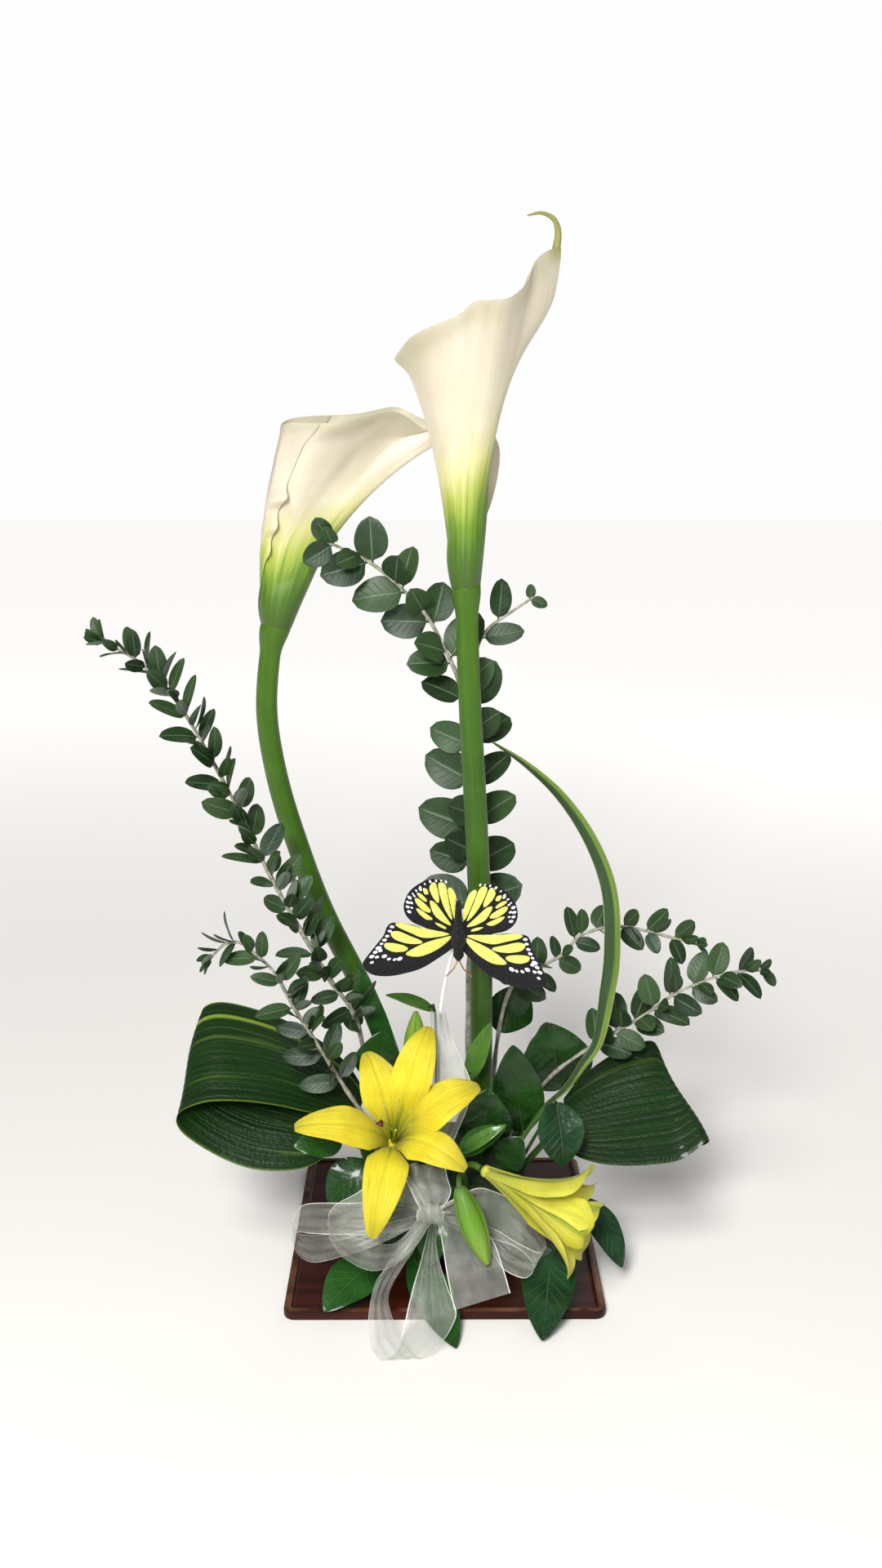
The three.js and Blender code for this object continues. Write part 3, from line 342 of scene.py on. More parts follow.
def off_middle(tree, across):
    """0 on the line halfway across a piece and 1 at both margins: twice across less one, without its sign."""
    return calc(tree, "ABSOLUTE", calc(tree, "MULTIPLY_ADD", across, 2.0, -1.0))


def object_place(tree):
    """The place of a point in the piece's own frame, in metres."""
    return put(tree, "ShaderNodeTexCoord").outputs["Object"]


def surface_uv(tree):
    """The piece's own UV map and its two parts: along and across."""
    uv = put(tree, "ShaderNodeUVMap", uv_map="surface").outputs[0]
    parts = put(tree, "ShaderNodeSeparateXYZ", {0: uv})
    return uv, parts.outputs[0], parts.outputs[1]


def mark(tree, name):
    """A mark of the piece's points."""
    return put(tree, "ShaderNodeAttribute", attribute_name=name).outputs["Fac"]


def new_group(name, numbers, results):
    """An empty node group. numbers are its inputs with their values, results its outputs."""
    group = bpy.data.node_groups.new(name, "ShaderNodeTree")
    group.interface.new_socket("Vector", in_out="INPUT", socket_type="NodeSocketVector")
    for key, value in numbers.items():
        group.interface.new_socket(key, in_out="INPUT", socket_type="NodeSocketFloat").default_value = value
    for key in results:
        group.interface.new_socket(key, in_out="OUTPUT", socket_type="NodeSocketFloat")
    return group, group.nodes.new("NodeGroupInput"), group.nodes.new("NodeGroupOutput")


def use(tree, group, vector, **numbers):
    """A shared group in a finish: its outputs by name."""
    made = put(tree, "ShaderNodeGroup", node_tree=group)
    tree.links.new(vector, made.inputs["Vector"])
    for key, value in numbers.items():
        made.inputs[key].default_value = value
    return made.outputs


def new_finish(name, roughness, **sockets):
    """A material with its node tree and its shader. sockets are values set on the shader itself."""
    finish = bpy.data.materials.new(name)
    finish.use_nodes = True
    shader = finish.node_tree.nodes["Principled BSDF"]
    shader.inputs["Roughness"].default_value = roughness
    for key, value in sockets.items():
        shader.inputs[key.replace("_", " ")].default_value = value
    print("finish:", name)
    return finish, finish.node_tree, shader


def wear(tree, shader, colour=None, height=None, depth=0.0, roughness=None, alpha=None):
    """Joins a finish's results to its shader: colour, bump with its depth in metres, roughness and alpha."""
    if colour is not None:
        tree.links.new(colour, shader.inputs["Base Color"])
    if height is not None:
        bump = put(tree, "ShaderNodeBump", {"Height": height, "Distance": depth, "Strength": 1.0})
        tree.links.new(bump.outputs[0], shader.inputs["Normal"])
    if roughness is not None:
        tree.links.new(roughness, shader.inputs["Roughness"])
    if alpha is not None:
        tree.links.new(alpha, shader.inputs["Alpha"])


# %% Shared effects
streaks, ins, outs = new_group("lengthwise streaks", {"Across": 40, "Along": 2, "Seed": 0}, ["Mask", "Fine"])
part = put(streaks, "ShaderNodeSeparateXYZ", {0: ins.outputs["Vector"]}).outputs
for result, finer in (("Mask", 1.0), ("Fine", 3.1)):
    line_up = put(streaks, "ShaderNodeCombineXYZ", {
        0: times(streaks, part[0], ins.outputs["Along"]),
        1: times(streaks, part[1], times(streaks, ins.outputs["Across"], finer)),
        2: ins.outputs["Seed"]})
    noise = put(streaks, "ShaderNodeTexNoise", {"Vector": line_up.outputs[0], "Scale": 1.0, "Detail": 3.0})
    streaks.links.new(rise(streaks, noise.outputs[0], 0.3, 0.7), outs.inputs[result])

mottle, ins, outs = new_group("mottling", {"Size": 60, "Detail": 4}, ["Mask"])
noise = put(mottle, "ShaderNodeTexNoise", {"Vector": ins.outputs["Vector"], "Scale": ins.outputs["Size"],
                                           "Detail": ins.outputs["Detail"]})
mottle.links.new(rise(mottle, noise.outputs[0], 0.32, 0.68), outs.inputs["Mask"])

veins, ins, outs = new_group("leaf veins", {"Pairs": 8, "Slant": 2.2, "Rib": 0.05}, ["Rib", "Veins", "Height"])
part = put(veins, "ShaderNodeSeparateXYZ", {0: ins.outputs["Vector"]}).outputs
off_rib = off_middle(veins, part[1])
rib = calc(veins, "SUBTRACT", 1.0, rise(veins, calc(veins, "DIVIDE", off_rib, ins.outputs["Rib"]), 0.3, 1.0))
phase = calc(veins, "SUBTRACT", times(veins, part[0], ins.outputs["Pairs"]),
             times(veins, calc(veins, "POWER", off_rib, 0.8), ins.outputs["Slant"]))
near = calc(veins, "ABSOLUTE", calc(veins, "SUBTRACT", calc(veins, "FRACT", phase), 0.5))
side_vein = times(veins, rise(veins, near, 0.0, 0.13, 1.0, 0.0), rise(veins, off_rib, 0.55, 0.98, 1.0, 0.0))
pressed_in = calc(veins, "MULTIPLY_ADD", rib, -1.2, times(veins, side_vein, -0.5))
for result, value in (("Rib", rib), ("Veins", side_vein), ("Height", pressed_in)):
    veins.links.new(value, outs.inputs[result])


def mottled(tree, size, detail=4):
    """The mottling's mask on a piece; size is about how many blotches there are in a metre."""
    return use(tree, mottle, object_place(tree), Size=size, Detail=detail)["Mask"]


print("shared effects:", [g.name for g in (streaks, mottle, veins)])

# %% [markdown]
# ## Floor
# A plain pale floor takes the table's place. Near the dish it is matt and a little dull, so that the sheer
# ribbon still shows against it. Further out it glows, more with distance, and runs into the white of the room.

# %% Floor
FLOOR_HALF = 9  # metres
finish, tree, shader = new_finish("pale_floor", 0.8, Base_Color=paint(250, 247, 242), Specular_IOR_Level=0.1,
                                  Emission_Color=paint(252, 252, 252))
away = put(tree, "ShaderNodeVectorMath", {0: object_place(tree)}, operation="LENGTH").outputs["Value"]
tree.links.new(rise(tree, away, 0.3, 2.4, 0.04, 0.5), shader.inputs["Emission Strength"])
floor_mesh = bpy.data.meshes.new("floor")
corners = [(x * FLOOR_HALF, y * FLOOR_HALF, 0) for x, y in ((-1, -1), (1, -1), (1, 1), (-1, 1))]
floor_mesh.from_pydata(corners, [], [(0, 1, 2, 3)])
floor_mesh.materials.append(finish)
floor = add_object("floor", floor_mesh)
print("floor, m:", 2 * FLOOR_HALF, "square")

# %% [markdown]
# ## The dish
# The dish is a flat square of dark brown lacquer, 6 mm thick. A lighter brown line is painted along the top of
# its rim as the highlight where the edge catches the light. A rounded square is easy to describe as a square
# whose corners are quarter circles. Here that outline is drawn in by a different amount at each step of a small
# profile, so the edges come out softly rounded, as a real edge is.

# %% Dish
DISH_HALF, DISH_CORNER, PER_CORNER = 100, 7, 10  # half its side, its corners' radius, and the points per corner
DISH_PROFILE = [[100, 0], [1.0, 0], [0.3, 0.3], [0, 1], [0, 5], [0.3, 5.7], [1.0, 6], [4.2, 6], [4.8, 5.8],
                [5.1, 5.3], [5.6, 4.85], [7, 4.8], [100, 4.8]]  # how far in from the side, and how high


def rounded_square(half, corner):
    """The outline of a square with quarter-circle corners: each corner's centre plus a turning radius."""
    angle = (np.arange(4)[:, None] * np.pi / 2 + np.linspace(0, np.pi / 2, PER_CORNER)).ravel()
    middle = angle.reshape(4, -1).mean(1)
    centre = np.sign(np.stack([np.cos(middle), np.sin(middle)], -1)) * (half - corner)
    ring = np.repeat(centre, PER_CORNER, axis=0) + corner * np.stack([np.cos(angle), np.sin(angle)], -1)
    return np.concatenate([ring, ring[:1]])


def dish_surface():
    """The rounded outline drawn in by the profile's first number and lifted by its second."""
    rows = []
    for inset, height in DISH_PROFILE:
        ring = np.zeros((4 * PER_CORNER + 1, 2))
        if inset < DISH_HALF:
            ring = rounded_square(DISH_HALF - inset, max(DISH_CORNER - inset, 1.0))
        rows.append(np.column_stack([ring, np.full(len(ring), height)]))
    return np.array(rows)


finish, tree, shader = new_finish("brown_lacquer", 0.42, Coat_Weight=0.04, Coat_Roughness=0.25,
                                  Specular_IOR_Level=0.18)
stretched = put(tree, "ShaderNodeMapping", {0: object_place(tree), 3: (9, 120, 60)}).outputs[0]
grain = put(tree, "ShaderNodeTexNoise", {"Vector": stretched, "Scale": 1.0, "Detail": 6.0}).outputs[0]
lacquer = mix(tree, rise(tree, grain, 0.35, 0.7), paint(44, 14, 8), paint(68, 27, 16))
_, along, _ = surface_uv(tree)
# Painted highlight: a lighter brown along the top of the rim and its outer edge, broken up by mottling.
edge = times(tree, rise(tree, along, 0.36, 0.42), rise(tree, along, 0.52, 0.6, 1.0, 0.0))
edge = times(tree, edge, mottled(tree, 55))
wear(tree, shader, mix(tree, edge, lacquer, paint(112, 74, 52)), grain, 0.00012,
     rise(tree, mottled(tree, 25), 0, 1, 0.28, 0.46))
make_piece("brown_dish", [band(dish_surface()[::-1])], finish, ["dish"], 40)

# %% [markdown]
# ## The foam
# Wet flower foam is a dark green block full of tiny pores. Its plain box with drilled holes is right in the
# CAD model already, so that piece stays and only gets its finish: mottled green with a fine pitted bump.

# %% Foam
finish, tree, shader = new_finish("wet_foam", 0.9)
pores = put(tree, "ShaderNodeTexVoronoi", {"Vector": object_place(tree), "Scale": 620.0}).outputs["Distance"]
wear(tree, shader, mix(tree, mottled(tree, 90), paint(22, 44, 24), paint(44, 70, 38)), pores, 0.0006)
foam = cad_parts["foam"].data
foam.materials.clear()
foam.materials.append(finish)
print("the foam keeps its", len(foam.polygons), "faces")

# %% [markdown]
# ## Calla lily stalks
# A calla's stalk is a thick, smooth, fleshy rod without a leaf or joint. It is mid green with faint lengthwise
# lines and a soft shine. A ring carried along the drawn line gives the shape, with a slight swelling from
# place to place, because a grown stalk is never a perfect tube.

# %% Calla lily measures
# Each spathe stands on base with the radius foot. From there its rim runs from the lap to the tip, tip_low and
# tip_high bend the tip's rib, and tip_share is how narrow that bend is. roll says which margin lies outside, and
# lap how far both run past the half turn. The spadix has a length, a tilt and a seat above the stalk's end.
CALLAS = {
    "calla_tall": dict(
        path=[[25, 0, 14], [25.5, 0, 66], [25, 0, 130], [24, 0, 215], [20.5, 0, 295], [16, 0, 375], [13.5, 0, 447]],
        radius=(7.6, 7.0), base=[13.5, 0, 443], foot=8.95,
        rim=[[-37, 0, 134], [-27, 20, 145], [-16, 31, 151], [-5, 37, 156], [4, 38, 163], [13, 36, 164], [23, 33, 166],
             [33, 25, 175], [37, 18, 185], [42, 11, 192], [52, 0, 198]],
        tip_low=[12, 170], tip_high=[57, 130], tip_share=6,
        tail=[[51, 0, 190], [53, 0, 203], [50.5, -1, 211], [43, -2, 214.5], [34.5, -3, 213]],
        roll=-1, lap=0.11, spadix=78, tilt=0.0, seat=0.35),
    "calla_short": dict(
        path=[[-19, 19, 14], [-24, 21, 62], [-35, 25, 114], [-52, 29, 162], [-80, 33, 220], [-98, 36, 270],
              [-110, 38, 314], [-115.5, 39, 357], [-111.5, 40, 400], [-106, 40, 418]],
        radius=(7.6, 6.9), base=[-107.6, 40, 414], foot=9.6,
        rim=[[6, 0, 124], [8, 12, 125], [15, 21, 128], [36, 30, 131], [56, 31, 133], [75, 24, 135], [86, 15, 133],
             [97, 8, 128], [110, 7, 127], [122, 8, 122], [131, 9, 110], [132, 9, 94], [131, 6, 80], [130, 0, 66]],
        tip_low=[40, 105], tip_high=[180, 175], tip_share=3,
        tail=[[130, 0, 72], [128.5, 0, 64], [126, -1, 59]],
        roll=1, lap=0.23, spadix=66, tilt=0.29, seat=0.8),
}
print("stalk lengths, mm:", {name: round(length_of(flower["path"])) for name, flower in CALLAS.items()})


# %% Stalk finish and stalks
def stalk_finish(name, low, high, top):
    """Fleshy green: from low at the foot to high and at last top, with lengthwise lines and faint blotches."""
    finish, tree, shader = new_finish(name, 0.38, Coat_Weight=0.1, Coat_Roughness=0.3, Specular_IOR_Level=0.3)
    uv, along, _ = surface_uv(tree)
    lines = use(tree, streaks, uv, Across=26, Along=3)
    colour = ramp(tree, along, [(0.0, paint(*low)), (0.9, paint(*high)), (0.985, paint(*top))])
    colour = tint(tree, colour, lines["Mask"], 0.35, [c * 0.72 for c in low])
    colour = tint(tree, colour, mottled(tree, 45), 0.25, [min(255, c * 1.18) for c in high])
    wear(tree, shader, colour, lines["Fine"], 0.0001)
    return finish


def calla_stalk(name, flower):
    """The rod, which narrows a little upwards and swells from place to place. It widens to the spathe's foot
    between 26 and 8 mm from its end, and its last 3 mm, inside the spathe, are narrow again."""
    low, high = flower["radius"]
    run = length_of(flower["path"])

    def radius(s, a):
        left = run * (1 - s)
        widen = (flower["foot"] + 0.15 - high) * ease(left, 26, 8) * (left > 3.0)
        return (low + (high - low) * s) * (1 + 0.02 * np.sin(9 * s + 2)) + 0.12 * np.cos(5 * a) + widen

    rod = stem(flower["path"], radius, 32, 180)
    make_piece(f"{name}_stem", [rod], calla_stalk_finish, [f"{name}_stalk"])


calla_stalk_finish = stalk_finish("calla_stalk_green", (26, 64, 8), (66, 106, 12), (70, 108, 14))
for name, flower in CALLAS.items():
    calla_stalk(name, flower)

# %% [markdown]
# ## Calla lily spathes
# The white cup of a calla is not a ring of petals. It is one large leaf, the spathe, rolled round so that one
# margin laps over the other. Every rib of it is a curve from the ring at the foot, up a slim tube, and out to
# the rim, so a cubic curve for each rib makes the funnel. The rim's own line is drawn through listed points: low
# at the lap, high at the tip. Where the turn runs past half a circle the sheet laps over itself, one margin a
# little further out than the other. The short calla's margins run further past than in the CAD model, which
# brings the lap round to the front.


# %% Spathe shape
SPATHE_TUBE = 12.2  # the radius of the slim tube
LAP_STEP = 0.62  # how far the sheet steps outwards in half a turn
SHEET_INSET = 0.35  # how far inside the stalk's widened end the sheet starts


def spathe_middle(flower, rows=72, columns=181):
    """Ribs from foot to rim. Rib by rib, the turn goes from one margin, over the tip, to the other. Both margins
    run on past the half turn by the lap, in half turns, and less at the foot. Each rib is a cubic from a ring
    below the base to the rim. It leaves towards the tube and arrives from a point over half way out to the rim,
    and on the tip's rib both of those points are given."""
    s, turn = np.linspace(0, 1, rows)[:, None], np.linspace(-1, 1, columns)[None]
    angle = turn * (1 + flower["lap"] * (0.4 + 0.6 * ease(s, 0.05, 0.35))) * np.pi
    offset = flower["roll"] * LAP_STEP * angle / np.pi * (0.35 + 0.65 * ease(s, 0, 0.4))
    folded = np.where(np.abs(angle) > np.pi, 2 * np.pi - np.abs(angle), np.abs(angle))
    side = np.where(np.sin(angle) < 0, -1.0, 1.0)
    rim = spline(flower["rim"], 1 - folded / np.pi)
    tip = (((1 + np.cos(angle)) / 2) ** flower["tip_share"])[..., None]
    out = np.stack([np.cos(angle), np.sin(angle), 0 * angle], -1)
    flat = lambda x, y, z: np.stack(np.broadcast_arrays(x, y, z), -1)
    ring = out * (flower["foot"] - SHEET_INSET + offset)[..., None] + [0, 0, -3]
    end = flat(rim[..., 0], rim[..., 1] * side, rim[..., 2]) + out * offset[..., None]
    low = out * (SPATHE_TUBE + offset)[..., None] + flat(0, 0, 0.42 * rim[..., 2])
    low = low + (flat(flower["tip_low"][0], low[..., 1], flower["tip_low"][1]) - low) * tip
    high = flat(rim[..., 0] * 0.5, rim[..., 1] * side * 0.5, rim[..., 2] * 0.78) + out * (4 + offset)[..., None]
    high = high + (flat(flower["tip_high"][0], end[..., 1] * 0.5, flower["tip_high"][1]) - high) * tip
    points = bezier(ring, low, high, end, s[..., None])
    points = points + out * 1.6 * np.sin(np.pi * np.minimum(1, s * 6))[..., None]
    return points + np.array(flower["base"]), s, angle, out


print("a spathe is a grid of", spathe_middle(CALLAS["calla_tall"])[0].shape[:2], "points")

# %% [markdown]
# The finish follows the ribs too. Green runs up from the stalk and breaks into streaks where it turns to
# yellow, then cream. The streaks come from noise that is stretched along the ribs and shifts the ramp. Shade is
# painted in too: the cream turns grey-beige in the hollows of the folds and under the rolled rim.

# %% Spathe finish
spathe_finish, tree, shader = new_finish("spathe_cream", 0.42, Subsurface_Weight=0.12, Subsurface_Scale=0.003,
                                         Subsurface_Radius=(1.0, 0.9, 0.7), Sheen_Weight=0.08)
uv, along, _ = surface_uv(tree)
ribs = use(tree, streaks, uv, Across=34, Along=1.6)["Mask"]
fine_ribs = use(tree, streaks, uv, Across=150, Along=2.5, Seed=4)["Mask"]
shift = calc(tree, "MULTIPLY_ADD", ribs, 0.09, along)
flesh = ramp(tree, calc(tree, "SUBTRACT", shift, 0.045), [
    (0.0, paint(60, 94, 8)), (0.11, paint(68, 106, 10)), (0.2, paint(106, 140, 28)), (0.28, paint(168, 182, 76)),
    (0.36, paint(212, 208, 142)), (0.48, paint(222, 214, 188)), (0.8, paint(218, 208, 191)),
    (1.0, paint(204, 197, 170))])
flesh = mix(tree, times(tree, mottled(tree, 28, 2), 0.3), flesh, paint(226, 216, 196), "MULTIPLY")
flesh = tint(tree, flesh, times(tree, rise(tree, along, 0.3, 0.45), fine_ribs), 0.1, (206, 204, 156))
# Painted shade: the cream turns grey-beige in the hollows of the folds and under the rolled rim.
flesh = tint(tree, flesh, mark(tree, "crease"), 0.4, (176, 170, 148))
flesh = mix(tree, mark(tree, "tail"), flesh, paint(150, 148, 74))
wear(tree, shader, flesh, calc(tree, "ADD", fine_ribs, ribs), 0.00006)


# %% Spathes
def spathe(name, flower, shape):
    """The rolled sheet after shape has bent it and given the painted shade of its folds and rim, and the tail that
    the tip's rib runs into."""
    points, s, angle, out = spathe_middle(flower)
    points, crease = shape(points, s, angle, out)
    tail_path = np.array(flower["tail"], float) + flower["base"]
    tail = stem(tail_path, lambda u, a: 2.3 * (1 - u) ** 0.8 + 0.35, 10, 30, tail=1)
    fade = ease(s, 0.93, 1.0) * ease(np.cos(angle), 0.96, 1.0) * 0.8
    sheet = blade(points, 0.85, tail=fade, crease=crease)
    make_piece(f"{name}_cup", [sheet, tail], spathe_finish, [f"{name}_spathe"])


def tall_shape(points, s, angle, out):
    """The rim rolls outwards and a little down, most at the left, and soft folds run down from it. The mark it
    gives back is painted shade under the rolled rim on the left.
    """
    lip = ease(s, 0.84, 1) ** 2
    roll = (1.6 + 3.2 * ease(-np.cos(angle), 0.5, 1)) * lip
    fold = 1.1 * np.sin(4 * angle + 1) * ease(s, 0.45, 0.9)
    down = 0.9 * lip * np.ones_like(roll)
    bent = points + out * (roll + fold)[..., None] - np.stack([0 * roll, 0 * roll, down], -1)
    return bent, 0.8 * lip * ease(-np.cos(angle), 0.2, 1)


def short_shape(points, s, angle, out):
    """Deeper folds fall from the rim, whose front half dips in waves. The outer margin swells in three scallops
    where it laps: there the sheet is turned on about its own middle and pushed outwards. The mark it gives back is
    painted shade: darker in the hollows of the folds and along the rim."""
    lip = ease(s, 0.86, 1) ** 2
    fold = 2.3 * np.sin(5 * angle + 0.6) * ease(s, 0.35, 1) + 1.0 * np.sin(11 * angle + 2 * s) * ease(s, 0.6, 1)
    fold = fold + 0.5 * np.sin(17 * angle + 9 * s) * np.sin(13 * s + 2 * angle) * ease(s, 0.4, 0.8)
    scallops = sum(np.exp(-(((s - at) / 0.036) ** 2)) for at in (0.3, 0.41, 0.54))
    turn = scallops * ease(angle, 1.06 * np.pi, 1.23 * np.pi) * 0.24
    puff = 1.1 * scallops * ease(angle, 0.98 * np.pi, 1.17 * np.pi)
    centre = points.mean(axis=1, keepdims=True)
    x, y, z = np.moveaxis(points - centre, -1, 0)
    turned = np.stack([x * np.cos(turn) - y * np.sin(turn), x * np.sin(turn) + y * np.cos(turn), z], -1) + centre
    front = ease(-np.sin(angle), 0.05, 0.7) * ease(s, 0.78, 1)
    dip = front * (4.6 + 2.6 * np.sin(8 * angle + 1.2)) + 0.9 * np.sin(9 * angle) * lip
    bent = turned + out * (1.2 * lip + fold + puff)[..., None] - np.stack([0 * dip, 0.4 * dip, dip], -1)
    return bent, np.clip(-fold / 2.6, 0, 1) + 0.4 * lip


spathe("calla_tall", CALLAS["calla_tall"], tall_shape)
spathe("calla_short", CALLAS["calla_short"], short_shape)

# %% [markdown]
# The spadix is the yellow finger inside the cup. It is covered with tiny knobs, one for each real flower.
# From the front the cup hides it, but it shows from above. The knobs are small swellings of the ring: a wave
# around it times a wave along it, each row half a step on from the last.

# %% Spadices
finish, tree, shader = new_finish("spadix_yellow", 0.7)
knobs = put(tree, "ShaderNodeTexVoronoi", {"Vector": object_place(tree), "Scale": 700.0}).outputs["Distance"]
wear(tree, shader, mix(tree, rise(tree, knobs, 0.1, 0.6), paint(240, 200, 60), paint(205, 150, 30)), knobs, 0.0005)


def knobbly(s, a):
    """The finger's radius: it swells from the foot, rounds off at the end, and carries 44 rows of 14 knobs."""
    end, row = 1 - s**7, np.floor(s * 44)
    return 4.1 * end**0.5 * (0.85 + 0.15 * ease(s, 0, 0.12)) + 0.14 * np.cos(14 * a + 2.2 * row) * end


for name, flower in CALLAS.items():
    foot = np.array(flower["path"][-1], float) + [0, 0, flower["seat"]]
    lean = np.array([math.sin(flower["tilt"]), 0, math.cos(flower["tilt"])])
    finger = stem([foot, foot + lean * flower["spadix"]], knobbly, 42, 120)
    make_piece(f"{name}_finger", [finger], finish, [f"{name}_spadix"])

# %% [markdown]
# ## Leafy sprays
# Five sprays of small oval leaves stand behind and beside the flowers. The leaves sit in pairs, one on either
# side of the twig, spread at about 55 degrees, and no two lie quite alike. Smaller extra leaves stand out to the
# front between the pairs. The two left sprays have three of them at a place, and some of those are turned right
# over. One leaf is worked out for all places on the twig at once: a stack of small grids, each turned and sized
# by its own numbers.

# %% Spray measures
# The pairs stand from the share start of the twig to near its end. size is a leaf's length at those two places,
# slim its width over its length, spread its angle to the twig there, and face the way it looks. At most it is
# turned about the twig by swirl and about its own rib by tumble, or by loose if it is an extra one, all in
# degrees. fuller is a factor on every leaf's length, and per is how many leaves stand at one place.
SPRAYS = {
    "spray_left_tall": dict(
        path=[[-33, -3, 36], [-41, 1, 66], [-50, 4, 110], [-58, -4, 160], [-75, -16, 194], [-107, -20, 257],
              [-132, -16, 311], [-162, -12, 367], [-186, -10, 395], [-214, -10, 411]],
        radius=(2.0, 0.9), pairs=19, start=0.27, size=(24, 27), slim=0.47, spread=(62, 48), face=(0.2, -0.8, 0.55),
        swirl=75, tumble=64, fuller=0.98, per=5, loose=150),
    "spray_left_low": dict(
        path=[[-40, -12, 38], [-44, -22, 74], [-51, -32, 102], [-62, -38, 124], [-80, -41, 157], [-94, -44, 183],
              [-105, -45, 206], [-116, -45, 218], [-126, -44, 226], [-136, -43, 225], [-147, -43, 214]],
        radius=(1.8, 0.9), pairs=8, start=0.42, size=(25, 20), slim=0.45, spread=(65, 50), face=(-0.1, -0.8, 0.6),
        swirl=40, tumble=60, fuller=0.98, per=5, loose=150),
    "spray_centre": dict(
        path=[[18, 26, 36], [17, 29, 110], [17, 30, 173], [19, 31, 243], [20, 31, 287], [18.5, 31, 331], [11, 30, 372],
              [4.5, 29, 391], [-12, 26, 422], [-33, 21, 444], [-50, 18, 457], [-75, 13, 469]],
        radius=(2.2, 1.0), pairs=11, start=0.4, size=(31, 28), slim=0.72, spread=(68, 48), face=(0, -1, 0.15),
        swirl=22, tumble=30, fuller=1.12, per=3),
    "spray_right_high": dict(
        path=[[33, 22, 36], [33, 22, 76], [36, 22, 130], [45, 18, 172], [63, 15, 187], [80, 17, 197], [92, 20, 209],
              [117, 22, 214], [145, 19, 209], [171, 14, 203]],
        radius=(1.8, 0.9), pairs=9, start=0.5, size=(22, 17), slim=0.6, spread=(62, 50), face=(0, -0.8, 0.55),
        swirl=45, tumble=45, fuller=1.0, per=3),
    "spray_right_low": dict(
        path=[[35, 0, 38], [45, -1, 78], [70, -3, 117], [100, -1, 140], [114, -3, 150], [132, -8, 164], [147, -12, 178],
              [161, -16, 187], [183, -20, 197], [205, -24, 200]],
        radius=(1.8, 0.8), pairs=9, start=0.5, size=(26, 19), slim=0.6, spread=(58, 45), face=(-0.1, -0.85, 0.5),
        swirl=35, tumble=40, fuller=1.02, per=3),
}
SIDE_TWIG = [[16, 31, 352], [20, 31, 392], [27, 30, 410], [41, 29, 421], [57, 28, 432]]
SIDE_LEAVES = np.array([[0.56, 1, 28, 15], [0.72, -1, 27, 15],
                        [0.97, 1, 12, 8], [0.97, -1, 10, 7]])  # place on the twig, side, length, width
print("twig lengths, mm:", {name: round(length_of(spec["path"])) for name, spec in SPRAYS.items()})


# %% Spray leaves
def leaf_places(path, u, face, side, turn, spread, roll):
    """Root, rib, across and upper normal of each leaf. The rib leaves the twig at the spread angle, away to its
    side, and the normal is what is left of the spray's face when the rib's part is taken out, rolled a little."""
    at = even(path, u)
    root, way = spline(path, at), slope(path, at)
    front = unit(np.array(face, float) - way * (way @ np.array(face, float))[:, None])
    away = np.cross(way, front) * (side * np.cos(turn))[:, None] + front * np.sin(turn)[:, None]
    rib = way * np.cos(spread)[:, None] + away * np.sin(spread)[:, None]
    normal = 0.8 * front + 0.45 * way
    normal = unit(normal - rib * (normal * rib).sum(1)[:, None])
    normal = normal * np.cos(roll)[:, None] + np.cross(rib, normal) * np.sin(roll)[:, None]
    return root, rib, np.cross(normal, rib), normal


def small_leaves(places, length, width, fold, curl, seed):
    """A stack of oval leaves. Across each the surface rises to both sides of the rib, and along it bends back."""
    root, rib, across, normal = places
    s, t = np.linspace(0, 1, 13)[:, None], np.linspace(-1, 1, 7)[None]
    oval = np.sin(np.pi * np.clip((s - 0.09) / 0.91, 0, 1) ** 0.85) ** 0.5
    half = np.maximum(oval, 0.07 * (1 - s)) * t
    big = lambda x: np.asarray(x)[:, None, None]
    lift = big(width / 2 * fold) * np.abs(half) ** 1.4 - big(length * curl) * s**2 + 0 * half
    where = lambda v, x: v[:, None, None] * x[..., None]
    middle = root[:, None, None] + where(rib, big(length) * (s + 0 * t)) + where(across, big(width / 2) * half)
    return blade(middle + where(normal, lift), 0.7, shade=big(0.5 + 0.5 * scatter(np.arange(len(length)), seed + 9)))


# %% [markdown]
# The leaves are grey-green above with a paler rib, and silvery below, which is what gives these sprays their
# dusty look. The mark for the underside picks the second colour, and each leaf's own shade mark lightens or
# darkens it a little. The twig is pale grey-brown bark.

# %% Spray finish
spray_finish, tree, shader = new_finish("spray_leaf_green", 0.42, Specular_IOR_Level=0.35)
uv, _, _ = surface_uv(tree)
lines = use(tree, veins, uv, Pairs=7, Slant=2.0, Rib=0.09)
upper = mix(tree, mark(tree, "shade"), paint(17, 40, 16), paint(54, 80, 40))
upper = tint(tree, upper, mottled(tree, 140), 0.25, (60, 92, 58))
upper = tint(tree, upper, lines["Rib"], 0.55, (112, 130, 104))
upper = tint(tree, upper, lines["Veins"], 0.05, (84, 104, 80))
lower = mix(tree, lines["Rib"], paint(104, 118, 102), paint(148, 156, 138))
leaf = mix(tree, mark(tree, "under"), upper, lower)
bark = mix(tree, mottled(tree, 300), paint(128, 128, 108), paint(176, 174, 158))
wear(tree, shader, mix(tree, mark(tree, "twig"), leaf, bark), lines["Height"], 0.00016)

# %% Sprays
LAST_LEAF = 0.985  # the share of the twig at which the last pair stands
FOLD = 0.2  # how far a small leaf's halves rise, over half its width


def side_twig():
    """The centre spray's side twig with its four leaves, which all lie flat and spread by 50 degrees."""
    u, side, length, width = SIDE_LEAVES.T
    none = 0 * u
    places = leaf_places(SIDE_TWIG, u, (0, -1, 0.15), side, none, none + np.radians(50), none)
    leaves = small_leaves(places, length, width, FOLD, none + 0.1, 3)
    return [leaves, stem(SIDE_TWIG, lambda s, a: 1.3 - 0.5 * s, 8, 40, twig=1)]


